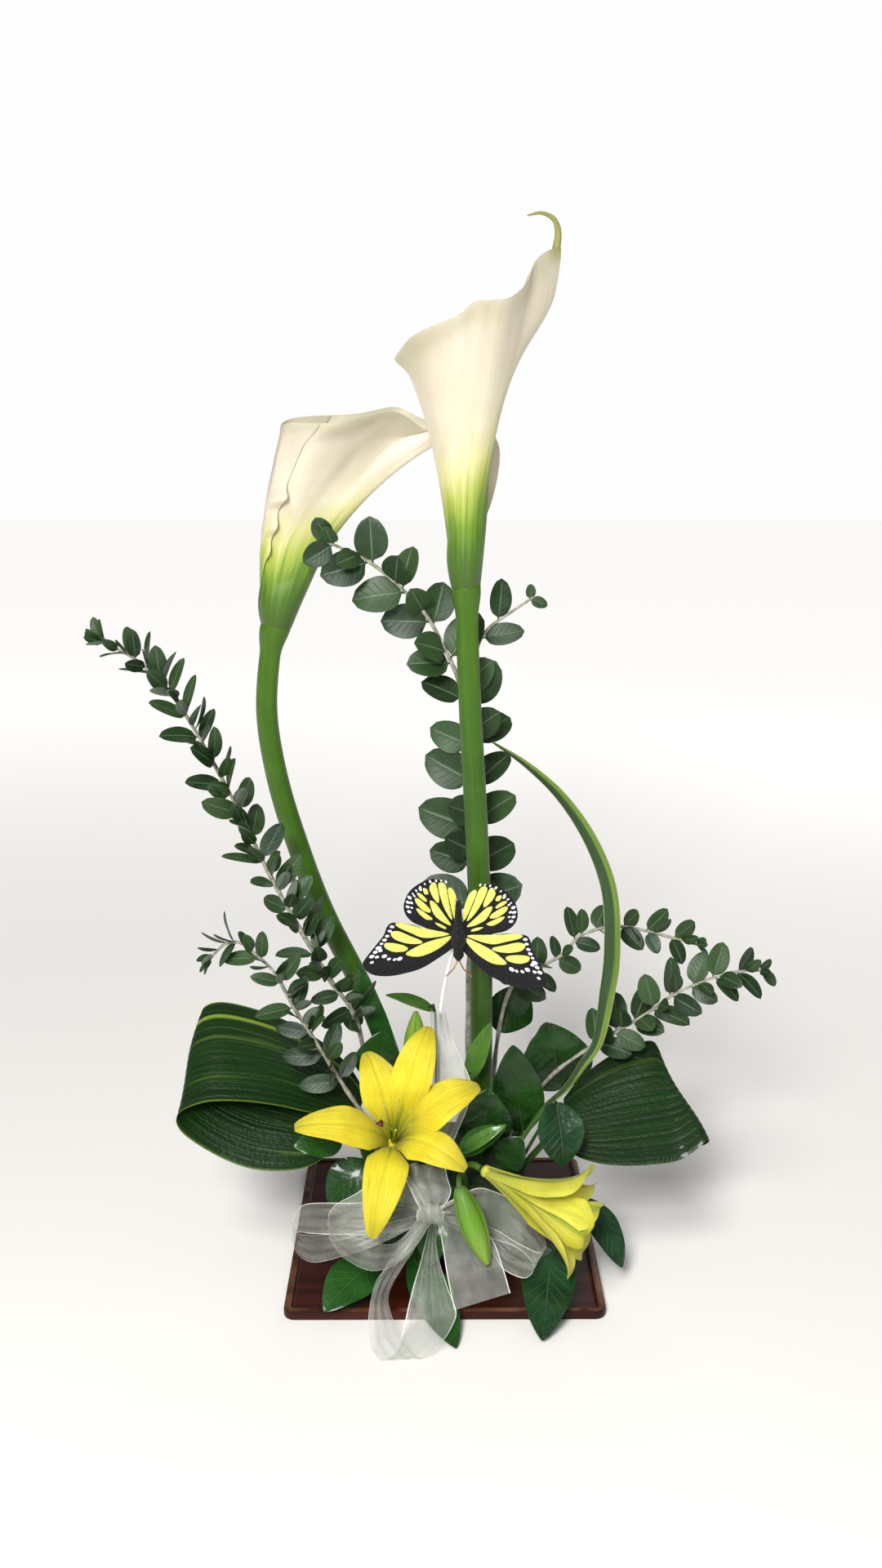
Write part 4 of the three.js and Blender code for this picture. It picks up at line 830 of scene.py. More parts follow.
def spray(name, spec, seed):
    """A twig with its pairs of leaves, by much the same numbers as in the CAD model but with more variation. At
    each place the first two leaves are the pair, and the others are extra ones: smaller, 0.3 of a step further on
    each, and turned to the front by 36 to 88 degrees. All leaves get smaller over the last seventh."""
    per = spec["per"]
    i = np.arange(spec["pairs"] * per)
    place, which = i // per, i % per
    extra = which > 1
    share = np.minimum(1, (place + (0.3 * which - 0.3) * extra) / (spec["pairs"] - 1))
    part_way = lambda pair: pair[0] + (pair[1] - pair[0]) * share
    u = spec["start"] + (LAST_LEAF - spec["start"]) * share + 0.006 * (i % 2)
    length = part_way(spec["size"]) * spec["fuller"] * (1 + 0.16 * scatter(i, seed)) * np.where(extra, 0.82, 1)
    length = length * (1 - 0.38 * ease(share, 0.86, 1))
    turn = np.radians(np.where(extra, 62 + 26 * scatter(i, seed + 1), spec["swirl"] * scatter(i, seed + 1)))
    spread = np.radians(part_way(spec["spread"]) + 11 * scatter(i, seed + 2))
    tumble = np.where(extra, spec.get("loose", spec["tumble"]), spec["tumble"])
    roll = np.radians(tumble * scatter(i, seed + 3))
    side = np.where(extra, np.sign(scatter(i, seed + 4)), np.where(which, 1.0, -1.0))
    places = leaf_places(spec["path"], u, spec["face"], side, turn, spread, roll)
    low, high = spec["radius"]
    twig = stem(spec["path"], lambda s, a: (low + (high - low) * s) * (1 + 0.12 * np.sin(70 * s)), 8, 110, twig=1)
    curl = 0.09 + 0.14 * scatter(i, seed + 5)
    bands = [twig, small_leaves(places, length, length * spec["slim"], FOLD, curl, seed)]
    if name == "spray_centre":
        bands += side_twig()
    make_piece(f"{name}_leaves", bands, spray_finish, [name])


for order, (name, spec) in enumerate(SPRAYS.items()):
    spray(name, spec, 10 * order + 1)

# %% [markdown]
# ## Looped leaves
# Two broad strap leaves are bent over and tucked back into the foam, so each makes a loop. Each is drawn by its
# two edges, from its stalk, round the fold and back to its tip, and the blade lies between them. It is dark and
# glossy, with fine pleats and paler yellow-green lines that run its whole length and close in at both ends.


# %% Strips between two edges
def between(edges, rows, columns, fold):
    """A strip between two drawn edges: a straight line across from one to the other at each place, moved along the
    strip's normal by fold(u, t, width)."""
    u, t = np.linspace(0, 1, rows), np.linspace(-1, 1, columns)
    first, second = spline(edges[0], u), spline(edges[1], u)
    flat = first[:, None] + (second - first)[:, None] * ((t + 1) / 2)[:, None]
    normal = unit(np.cross(np.gradient(flat, axis=0), np.gradient(flat, axis=1)))
    wide = np.linalg.norm(second - first, axis=1)
    return flat + normal * fold(u[:, None], t[None], wide[:, None])[..., None]


LOOPS = {
    "looped_leaf_left": dict(
        stalk=[[-36, -30, 34], [-48, -29, 62], [-57, -23, 92], [-60, -17.5, 111.5]],
        edges=([[-52.2, -8, 110.6], [-64.1, -2, 127.1], [-80.6, 4, 140.2], [-105.4, 12, 152.6], [-130.2, 16, 160.4],
                [-150.3, 16, 163.9], [-161.6, 14, 158.9], [-159.6, 8, 146.2], [-145.2, 0, 136.3], [-126.1, -4, 126.4],
                [-104.3, -8, 118.3], [-85.2, -14, 107.6], [-68.9, -20, 98.9]],
               [[-55.3, -24, 102.5], [-67.8, -36, 104.9], [-85.4, -44, 112.3], [-107.9, -50, 120.8],
                [-130.7, -52, 124.6], [-152.3, -52, 123.5], [-169, -50, 114.3], [-166.9, -50, 101.9],
                [-146.4, -52, 87.6], [-124.1, -54, 78.9], [-101, -52, 76.1], [-83.3, -46, 77.5],
                [-68.1, -36, 86.6]])),
    "looped_leaf_right": dict(
        stalk=[[34, -20, 34], [50, -22, 60], [68, -24, 84], [80.7, -24.5, 101.8]],
        edges=([[78.3, -18, 109.1], [86.3, -6, 113.4], [100.1, 4, 121.1], [117, 10, 129.6], [132.4, 12, 135.2],
                [140.7, 12, 135.7], [145, 10, 127.8], [144.5, 12, 120.4], [133.5, 15, 116.1], [116.9, 14, 110.1],
                [99.9, 8, 102.8], [85.6, 0, 91.7]],
               [[76.4, -30, 98.2], [81.7, -44, 84.6], [94.1, -52, 81.3], [110.3, -56, 80.5], [130, -56, 81],
                [150.9, -54, 83.9], [167.3, -50, 94.8], [167.7, -38, 85.9], [152.8, -28, 76.2], [129.8, -22, 70.2],
                [108.7, -18, 69.9], [87.2, -16, 73.1]])),
}
print("looped leaves:", {name: f"{len(spec['edges'][0])} points an edge" for name, spec in LOOPS.items()})


# %% Looped leaf finishes
def loop_finish(name, stripes, gloss):
    """Dark lengthwise lines under a gloss. stripes is how bright the pale stripe and the margins are."""
    finish, tree, shader = new_finish(name, 0.36, Coat_Weight=gloss, Coat_Roughness=0.1, Specular_IOR_Level=0.18)
    uv, _, across = surface_uv(tree)
    lines = use(tree, streaks, uv, Across=30, Along=1.2)
    rare = use(tree, streaks, uv, Across=17, Along=1.5, Seed=7)["Mask"]
    green = mix(tree, lines["Mask"], paint(10, 32, 7), paint(20, 52, 12))
    green = tint(tree, green, lines["Fine"], 0.2, (38, 68, 22))
    green = tint(tree, green, rise(tree, rare, 0.86, 1.0), 0.4 * stripes, (92, 122, 42))
    stripe = times(tree, rise(tree, across, 0.13, 0.15), rise(tree, across, 0.16, 0.19, 1.0, 0.0))
    green = tint(tree, green, stripe, 0.8 * stripes, (136, 162, 52))
    margin = rise(tree, off_middle(tree, across), 0.955, 1.0)
    green = tint(tree, green, margin, 0.6 * stripes, (112, 142, 50))
    green = mix(tree, mark(tree, "twig"), green, paint(50, 80, 28))
    height = calc(tree, "ADD", lines["Mask"], times(tree, mottled(tree, 420), 0.5))
    wear(tree, shader, green, height, 0.00028, rise(tree, lines["Fine"], 0, 1, 0.3, 0.44))
    return finish


# %% Looped leaves
def pleats(u, t, wide):
    """Fourteen fine pleats that fade towards both ends, and one slow wave, all in proportion to the width."""
    return (0.13 * np.cos(14 * np.pi * t) * np.sin(np.pi * u) + 1.0 * np.sin(5 * u + 3 * t)) * wide / 70


def looped_leaf(name, stalk, edges, finish):
    """A thin pleated blade between the two edges, and its stalk."""
    bands = [blade(between(edges, 120, 61, pleats), 0.7), stem(stalk, 2.2, 12, 24, twig=1)]
    make_piece(f"{name}_strap", bands, finish, [name])


looped_leaf("looped_leaf_left", **LOOPS["looped_leaf_left"], finish=loop_finish("striped_leaf_green", 1.0, 0.25))
looped_leaf("looped_leaf_right", **LOOPS["looped_leaf_right"], finish=loop_finish("plain_loop_green", 0.15, 0.5))

# %% [markdown]
# ## The arching grass leaf
# One long narrow leaf arches over on the right. It is folded along its rib like a shallow V, so one half
# faces the light and looks yellow-green while the other stays dark, and it turns a little where it stands up.

# %% Grass leaf
GRASS = [[38, -10, 42], [50, -22, 80], [65, -30, 108], [79, -31, 123], [89, -29, 138], [98, -26, 152], [104, -20, 180],
         [108, -14, 204], [108, -6, 236], [103, 2, 259], [91, 8, 284], [74, 12, 307], [53, 14, 326], [31, 14, 341]]


GRASS_HALF = 5.4  # half its greatest width


def grass_middle(rows=110, columns=13):
    """A strip about the arch whose two halves rise from the rib. It is half as wide where it leaves its stalk,
    and turned about the arch where it stands up."""
    s, t = np.linspace(0, 1, rows), np.linspace(-1, 1, columns)
    u = even(GRASS, 0.1 + 0.9 * s)
    way = slope(GRASS, u)
    out = unit(np.cross([0, 1, 0], way))
    swell = np.maximum(0.06, np.sin(np.pi * (0.05 + 0.935 * s)) ** 0.75)
    half = GRASS_HALF * swell * (0.5 + 0.5 * ease(s, 0.14, 0.45))
    twist = (-0.5 * np.exp(-(((s - 0.3) / 0.12) ** 2)))[:, None]
    out = out * np.cos(twist) + np.cross(way, out) * np.sin(twist)
    normal = unit(np.cross(way, out))
    lift = 0.55 * half[:, None] * np.abs(t) ** 1.15
    return spline(GRASS, u)[:, None] + out[:, None] * (half[:, None] * t)[..., None] + normal[:, None] * lift[..., None]


finish, tree, shader = new_finish("grass_leaf_green", 0.4)
uv, _, across = surface_uv(tree)
lines = use(tree, streaks, uv, Across=14, Along=3, Seed=2)
dark = mix(tree, lines["Mask"], paint(38, 66, 30), paint(56, 86, 42))
light = mix(tree, lines["Mask"], paint(92, 128, 36), paint(132, 162, 62))
halves = mix(tree, rise(tree, across, 0.58, 0.64), dark, light)
halves = mix(tree, rise(tree, off_middle(tree, across), 0.86, 0.98), halves, paint(178, 190, 124))
wear(tree, shader, mix(tree, mark(tree, "twig"), halves, paint(78, 112, 44)), lines["Fine"], 0.0002)
foot = stem(GRASS[:3], 1.5, 10, 24, twig=1)
make_piece("arching_grass_leaf", [blade(grass_middle(), 0.7), foot], finish, ["grass_leaf"])

# %% [markdown]
# ## Broad leaves round the foot
# Twenty-two single leaves fill the space round the foam. Each has its own base, tip, width and way of facing,
# and one function makes them all: the rib arches from base to tip, and the two halves rise from it. They are
# dark and glossy, with a paler rib and side veins that are pressed into the surface. The four that fill the gaps
# right of the stalks are drawn a little wider than in the CAD model.

# %% Leaf measures
LEAVES = {  # root, bend, base of the blade, tip, the way it faces, width, droop
    "leaf_behind_stem": ([30, 30, 40], [30, 31, 110], [33, 30.3, 160], [60, 30.3, 143], [0.1, -1, 0.2], 34, 0.05),
    "leaf_right_round": ([44, 14, 40], [54, 15, 72], [80, 12, 102], [68, 10, 151], [0, -1, 0.35], 49, 0.1),
    "leaf_right_dark": ([42, -10, 42], [48, -12, 64], [52, -14, 84], [45, -14, 145], [-0.1, -1, 0.2], 34, 0.06),
    "leaf_right_glossy": ([38, -26, 46], [52, -38, 80], [70.5, -46, 119.6], [75, -60, 82.7], [0.1, -0.8, 0.6],
                          30, 0.12),
    "leaf_mid_dark": ([24, -24, 46], [24, -28, 64], [24.4, -32, 84], [28.3, -35, 124], [0, -0.9, 0.4], 36, 0.1),
    "leaf_mid_deep": ([31, -30, 46], [34, -37, 60], [36.5, -41, 73], [50, -45, 95], [0, -0.8, 0.6], 23, 0.08),
    "leaf_mid_low": ([-2, -26, 46], [0, -36, 66], [9, -45, 84], [39, -50, 104], [0, -0.6, 0.8], 17, 0.08),
    "leaf_left_pale": ([-30, -34, 48], [-39, -42, 78], [-65, -58, 99], [-93.4, -72, 102.8], [0, -0.75, 0.65], 20, 0.1),
    "leaf_left_low": ([-40, -34, 40], [-46, -38, 58], [-48.4, -42, 75.3], [-74.7, -48, 51.5], [0, -0.8, 0.6], 30, 0.1),
    "leaf_left_back": ([-28, 0, 40], [-34, -4, 84], [-47, -12, 121], [-39.1, -16, 156], [0.1, -1, 0.2], 30, 0.08),
    "leaf_left_tall": ([-24, 7, 44], [-27, 8, 84], [-33.6, 10, 123], [-58.1, 14, 192], [0, -1, 0.1], 14, 0.04),
    "leaf_dish_left": ([-34, -30, 20], [-40, -46, 22], [-45, -65, 17], [-74, -105, 9.5], [0, -0.5, 0.85], 31, 0.12),
    "leaf_dish_front": ([-4, -30, 36], [-5, -46, 46], [-6.4, -64, 51], [-9.5, -76, 22.7], [0, -0.9, 0.4], 20, 0.06),
    "leaf_dish_middle": ([-8, -30, 18], [-14, -48, 22], [-19, -64, 22], [6.3, -131, 1.8], [0, -0.2, 1], 27, 0.01),
    "leaf_dish_right": ([36, -28, 20], [50, -42, 24], [68.8, -60, 26], [58.3, -124.9, 2.6], [0, -0.5, 0.86], 33, 0.06),
    "leaf_far_right": ([40, -20, 22], [64, -28, 40], [90, -42, 50], [113.7, -64, 13.8], [0.3, -0.7, 0.65], 21, 0.12),
    "leaf_back_left": ([-34, 24, 40], [-46, 40, 64], [-54, 50, 74], [-86, 66, 50], [-0.2, 0.6, 0.8], 32, 0.12),
    "leaf_back_middle": ([-4, 28, 40], [-4, 46, 66], [-5, 56, 74], [-8, 84, 40], [0, 0.7, 0.75], 34, 0.12),
    "leaf_back_right": ([32, 30, 38], [42, 46, 62], [50, 54, 70], [78, 72, 44], [0.2, 0.65, 0.75], 33, 0.12),
    "lily_leaf_front": ([4, -30, 44], [7, -46, 70], [10, -56, 90], [38.9, -58, 110.4], [-0.2, -0.8, 0.6], 9, 0.1),
    "lily_leaf_stem": ([16, -14, 44], [15, -17, 84], [15.5, -20, 123], [30.1, -21, 163.6], [-0.3, -1, 0.1], 13, 0.05),
    "lily_leaf_left": ([-6, -4, 44], [-5, -6, 110], [-6, -7, 166], [-38, -9, 178], [0, -0.6, 0.8], 9, 0.1),
}
print(len(LEAVES), "single leaves, the widest", max(measures[5] for measures in LEAVES.values()), "mm")


# %% Leaf finishes
def broad_finish(name, dark, light, rib_colour, roughness, pairs):
    """A glossy leaf: mottled green, a paler rib, and side veins pressed in."""
    finish, tree, shader = new_finish(name, roughness, Coat_Weight=0.28, Coat_Roughness=0.1,
                                      Specular_IOR_Level=0.22)
    uv, _, _ = surface_uv(tree)
    lines = use(tree, veins, uv, Pairs=pairs, Slant=2.4, Rib=0.04)
    green = mix(tree, mottled(tree, 38), paint(*dark), paint(*light))
    green = tint(tree, green, lines["Veins"], 0.25, rib_colour)
    green = tint(tree, green, lines["Rib"], 0.6, rib_colour)
    green = tint(tree, green, mark(tree, "under"), 0.45, (84, 116, 66))
    green = mix(tree, mark(tree, "twig"), green, paint(44, 76, 28))
    height = calc(tree, "MULTIPLY_ADD", mottled(tree, 260), 0.45, lines["Height"])
    wear(tree, shader, green, height, 0.0005)
    return finish


dark_leaf = broad_finish("dark_leaf_green", (12, 42, 8), (28, 70, 16), (56, 92, 40), 0.34, 7)
blue_leaf = broad_finish("blue_green_leaf", (15, 46, 22), (32, 74, 38), (78, 110, 84), 0.34, 9)
fresh_leaf = broad_finish("fresh_leaf_green", (20, 62, 18), (38, 88, 28), (84, 126, 56), 0.34, 8)
pale_leaf = broad_finish("pale_leaf_green", (46, 90, 26), (76, 120, 40), (136, 164, 84), 0.38, 12)
FINISH_OF = {}  # the others are dark
for leaf_finish, names in (
        (blue_leaf, ("leaf_right_glossy", "leaf_dish_right", "leaf_far_right")),
        (fresh_leaf, ("leaf_dish_left", "leaf_dish_middle", "leaf_dish_front", "leaf_left_pale", "leaf_left_low",
                      "leaf_left_tall")),
        (pale_leaf, ("leaf_mid_low", "lily_leaf_front", "lily_leaf_stem", "lily_leaf_left"))):
    FINISH_OF.update(dict.fromkeys(names, leaf_finish))


# %% Leaves
def leaf_middle(base, tip, facing, width, droop, s, t):
    """The surface of a leaf at s along and t across: the rib's point, half the width out, and the lift."""
    base, facing = np.array(base, float), np.array(facing, float)
    rib = np.array(tip, float) - base
    length = np.linalg.norm(rib)
    rib = rib / length
    normal = unit(facing - rib * (facing @ rib))
    swell = np.sin(np.pi * (0.02 + 0.975 * s) ** 0.85) ** 0.72
    half = width / 2 * np.maximum(0.03, swell)
    lift = droop * length * 4 * s * (1 - s) + 0.12 * half * np.abs(t) ** 1.3
    wave = 0.035 * half * np.sin(16 * s + 2 * t) * np.abs(t)
    place = [s * length + 0 * t, t * half, lift + wave]
    return base + sum(v * x[..., None] for v, x in zip((rib, np.cross(normal, rib), normal), place))


STALK_END = 0.16  # the stalk runs on under this share of the rib


def broad_leaf(name, root, bend, base, tip, facing, width, droop):
    """One leaf and its stalk, which ends under the blade's rib."""
    s, t = np.linspace(0, 1, 36)[:, None], np.linspace(-1, 1, 17)[None]
    surface = leaf_middle(base, tip, facing, width, droop, s, t)
    into = leaf_middle(base, tip, facing, width, droop, np.array([[STALK_END]]), np.array([[0.0]]))[0, 0]
    stalk = stem([root, bend, base, into], lambda s, a: 1.4 - 0.6 * s, 8, 30, (1, 0.3, 0), twig=1)
    make_piece(f"{name}_blade", [blade(surface, 0.6), stalk], FINISH_OF.get(name, dark_leaf), [name])


for name, measures in LEAVES.items():
    broad_leaf(name, *measures)

# %% [markdown]
# ## Yellow lilies
# A lily has six tepals on one short cup, three standing just inside the other three. Each leaves the cup
# along the flower's axis, then bends out and back, so its spine is a cubic curve and its width swells and
# narrows along it. A groove runs down the middle, and the margins are slightly wavy. One lily is open towards
# the front, the other half open and facing right.

# %% Lily measures
# throat and axis place the flower, and each tepal has a tip and half a width. depth is how far the tepals stay
# together along the axis, flare how far back their tips bend, and fuller how much wider they all are than drawn.
# room is how much of that width they may have for each millimetre from the axis, and cup how far their margins
# bend in. style is the style's bend and end, filaments their length, and splay how far they stand apart.
LILIES = {
    "lily_open": dict(
        throat=[-33, -60, 98], axis=[0.1, -0.63, 0.77], depth=24, flare=14,
        stalk=[[-20, -28, 42], [-24, -38, 57], [-29, -47, 75], [-31.8, -54, 90], [-33.3, -58.4, 96]],
        tepals=[([-9.8, -48, 171.6], 13), ([21.5, -66, 140.2], 13.5), ([12.4, -97, 100.2], 12.5),
                ([-44, -114, 64.5], 13.5), ([-90.7, -90, 124.4], 13), ([-49.2, -50, 156.1], 13.5)],
        fuller=1.0, room=0.75, cup=-0.3, style=[[-5, -1.5, 31], [-11, -5, 44]], filaments=44, splay=1),
    "lily_side": dict(
        throat=[25, -62, 81], axis=[0.87, -0.36, -0.33], depth=20, flare=2,
        stalk=[[10, -22, 42], [11, -36, 58], [13, -50, 76], [18, -57.5, 82.5], [22.8, -61.1, 81.8]],
        tepals=[([89.8, -76, 92.8], 18), ([95.1, -92, 72.2], 18), ([84.4, -106, 61], 16), ([74.9, -98, 27.5], 14),
                ([86.9, -68, 27.3], 14), ([95.1, -60, 70.2], 14)],
        fuller=1.15, room=1.3, cup=0.62, style=[[0, 0, 32], [0, 0, 42]], filaments=38, splay=0),
}
print("stalk lengths, mm:", {name: round(length_of(spec["stalk"])) for name, spec in LILIES.items()})


# %% Lily tepals
def flower_axes(spec):
    """Right, up and forward of a flower, as the rows of a matrix: forward is its axis."""
    forward = unit(np.array(spec["axis"], float))
    right = unit(np.cross([0, 0, 1.0], forward))
    return np.array([right, np.cross(forward, right), forward])


def tepal_middle(spec, tip, half, inner, rows=48, columns=21):
    """A tepal in the flower's own frame. The spine goes up the axis and out to the tip; the sides bend in or fall
    away from it as t squared, a groove dips along the middle, and the margins wave."""
    s, t = np.linspace(0, 1, rows)[:, None], np.linspace(-1, 1, columns)[None]
    reach = math.hypot(tip[0], tip[1])
    out = np.array([tip[0] / reach, tip[1] / reach, 0])
    at = lambda r, h: out * r + [0, 0, h]
    bend = max(tip[2] + spec["flare"], spec["depth"] + 6)
    spine = bezier(at(2.2, 0), at(0.14 * reach, spec["depth"]), at(0.55 * reach, bend), np.array(tip), s)
    way = unit(np.gradient(spine, axis=0))
    across = np.array([-out[1], out[0], 0])
    inward = -np.cross(across, way)
    swell = np.sin(np.pi * (0.12 + 0.86 * s) ** 1.1) ** 0.62
    wide = np.minimum(spec["fuller"] * half * swell, 1 + spec["room"] * np.linalg.norm(spine[:, :2], axis=1)[:, None])
    wave = 0.07 * wide * np.sin(15 * s + inner + 2 * t) * np.abs(t) ** 2 * ease(s, 0.3, 0.6)
    dip = -0.5 * np.exp(-((t / 0.13) ** 2)) * np.sin(np.pi * s) ** 0.5
    lift = spec["cup"] * wide * t**2 * (1 - 0.6 * s) + wave + dip + 0.7 * inner
    return spine[:, None] + across * (wide * t)[..., None] + inward[:, None] * lift[..., None]


# %% [markdown]
# The petal finish is a clear warm yellow that turns green in the throat and along the rib outside. Fine lines
# run along it, and the shader lets a little light through, because a petal is thin and moist.


# %% Petal finish
def petal_finish(name, main, deep, throat, rib_colour, rib_share, rib_wide):
    """Yellow with lengthwise lines, a green throat, and a rib that is greener on the outside."""
    finish, tree, shader = new_finish(name, 0.44, Subsurface_Weight=0.08, Subsurface_Scale=0.003,
                                      Subsurface_Radius=(1.0, 0.9, 0.3), Sheen_Weight=0.05)
    uv, along, _ = surface_uv(tree)
    lines = use(tree, streaks, uv, Across=22, Along=2.2)
    rib = use(tree, veins, uv, Rib=rib_wide)["Rib"]
    colour = mix(tree, mottled(tree, 50), paint(*main), paint(*deep))
    colour = tint(tree, colour, lines["Mask"], 0.25, [c * 0.84 for c in deep])
    green = times(tree, rise(tree, along, 0.12, 0.5, 1.0, 0.0), calc(tree, "MULTIPLY_ADD", rib, 0.5, 0.5))
    colour = mix(tree, green, colour, paint(*throat))
    colour = tint(tree, colour, times(tree, mark(tree, "under"), rib), rib_share, rib_colour)
    wear(tree, shader, colour, calc(tree, "MULTIPLY_ADD", rib, -1.5, lines["Fine"]), 0.00025)
    return finish


open_petal = petal_finish("open_petal_yellow", (246, 228, 48), (230, 208, 28), (140, 156, 36),
                          (168, 174, 50), 0.5, 0.16)
side_petal = petal_finish("side_petal_yellow", (234, 228, 84), (216, 212, 62), (146, 168, 58),
                          (132, 158, 50), 0.7, 0.45)

# %% Style finish
style_finish, tree, shader = new_finish("style_green", 0.4)
_, along, _ = surface_uv(tree)
colour = ramp(tree, along, [(0.0, paint(112, 132, 26)), (0.6, paint(150, 166, 44)), (1.0, paint(206, 200, 90))])
colour = tint(tree, colour, mottled(tree, 300), 0.3, (90, 112, 30))
wear(tree, shader, mix(tree, mark(tree, "stigma"), colour, paint(84, 14, 18)), mottled(tree, 900), 0.0002)
lily_stalk_finish = stalk_finish("lily_stalk_green", (44, 82, 24), (72, 112, 34), (72, 112, 34))


# %% Lilies
def ball(s):
    """How wide a ball of radius 1 is at the share s of its height: a half circle over s."""
    return np.sqrt(np.clip(1 - (2 * s - 1) ** 2, 0, 1))


def lily(name, spec, petal):
    """The six tepals and their cup, the style with its three-lobed stigma and six filaments, and the stalk."""
    axes, throat = flower_axes(spec), np.array(spec["throat"], float)
    world = lambda grid: (grid[0] @ axes + throat, grid[1])
    bands = []
    for k, (tip, half) in enumerate(spec["tepals"]):
        local = axes @ (np.array(tip, float) - throat)
        bands.append(blade(tepal_middle(spec, local, half, 1 - k % 2), 0.8))
    cup = stem([[0, 0, -2.2], [0, 0, 4.2]], lambda s, a: 4 * ball(s), 16, 12)
    make_piece(f"{name}_petals", [world(b) for b in [*bands, cup]], petal, [f"{name}_tepals"])
    end = np.array(spec["style"][1], float)
    line = [[0, 0, 4.6], [0, 0, 18], *spec["style"]]
    lobe = lambda s, a: 2.7 * ball(s) * (0.78 + 0.22 * np.cos(3 * a))
    parts = [stem(line, lambda s, a: 1.2 - 0.25 * s, 10, 30),
             stem([end - [0, 0, 1.3], end + [0, 0, 1.5]], lobe, 24, 12, stigma=1)]
    for k in range(6):
        a = k * np.pi / 3 + 0.3
        at = lambda r, h: [r * math.cos(a), r * math.sin(a), h]
        grow = lambda r: 1.3 + (r - 1.3) * spec["splay"]
        path = [at(0.4, 5.5), at(grow(2.6), 16), at(grow(5.5), 30), at(grow(10), spec["filaments"])]
        parts.append(stem(path, lambda s, a: 0.8 - 0.25 * s, 7, 24))
    make_piece(f"{name}_heart", [world(b) for b in parts], style_finish, [f"{name}_style"])
    stalk = stem(spec["stalk"], 2.3, 12, 30, (1, 0.2, 0))
    make_piece(f"{name}_stem", [stalk], lily_stalk_finish, [f"{name}_stalk"])


lily("lily_open", LILIES["lily_open"], open_petal)
lily("lily_side", LILIES["lily_side"], side_petal)

# %% [markdown]
# A lily bud is three outer tepals closed over three inner ones, so its section is a soft triangle with a
# groove between each pair. The ring's radius swells along the bud and dips three times around it.

# %% Buds
BUDS = {  # the stalk's path, the bud's tip, and its radius
    "lily_bud_upright": ([[-9, -15, 42], [-13, -19, 84], [-19, -23, 122], [-19.5, -24.5, 131]],
                         [-18, -26, 173], 7.2),
    "lily_bud_hanging": ([[14, -26, 40], [14, -44, 62], [11, -70, 83], [8.6, -84, 87], [9, -88.5, 83]],
                         [26, -99, 38], 8.4),
}
bud_finish, tree, shader = new_finish("bud_green", 0.36, Coat_Weight=0.15, Coat_Roughness=0.3)
uv, along, _ = surface_uv(tree)
lines = use(tree, streaks, uv, Across=24, Along=2, Seed=3)
colour = ramp(tree, along, [(0.0, paint(86, 132, 30)), (0.5, paint(108, 156, 38)), (1.0, paint(146, 176, 62))])
colour = tint(tree, colour, lines["Mask"], 0.3, (78, 128, 30))
colour = mix(tree, rise(tree, mark(tree, "groove"), 0.45, 0.95), colour, paint(58, 98, 24))
wear(tree, shader, mix(tree, mark(tree, "twig"), colour, paint(86, 122, 50)), lines["Fine"], 0.0002)


def groove(a, width):
    """1 in the three grooves round the bud and 0 between them: a bell over half of three waves a turn."""
    return np.exp(-((np.cos(1.5 * a) / width) ** 2))


def bud(name, path, tip, radius):
    """A grooved swelling from the stalk's end to the tip, and the stalk."""
    foot = np.array(path[-1], float)
    line = [foot - unit(np.array(tip, float) - foot), tip]
    swell = lambda s: np.sin(np.pi * (0.07 + 0.89 * s**0.9)) ** 0.75
    shape = lambda s, a: radius * swell(s) * (1 + 0.06 * np.cos(3 * a) - 0.07 * groove(a, 0.14))
    body = stem(line, shape, 48, 50, (1, 0, 0), groove=groove(np.linspace(0, 2 * np.pi, 49), 0.16))
    stalk = stem(path, 1.7, 10, 30, (1, 0.2, 0), twig=1)
    make_piece(f"{name}_closed", [body, stalk], bud_finish, [name])


for name, measures in BUDS.items():
    bud(name, *measures)

# %% [markdown]
# ## The ribbon
# The bow is sheer ribbon: a thin open weave with a firmer bright line along each edge. Each run of it is drawn
# by its two edges, and the cloth goes straight across from one to the other. Where the edges draw close together
# towards the knot, small folds take up the width that is left over. The finish is mostly see-through; the weave,
# the edge lines and the creases are what catch the light. It comes in three strengths, for the loops, for the
# knot, where a few layers lie on each other, and for the upright tail, which is twisted.

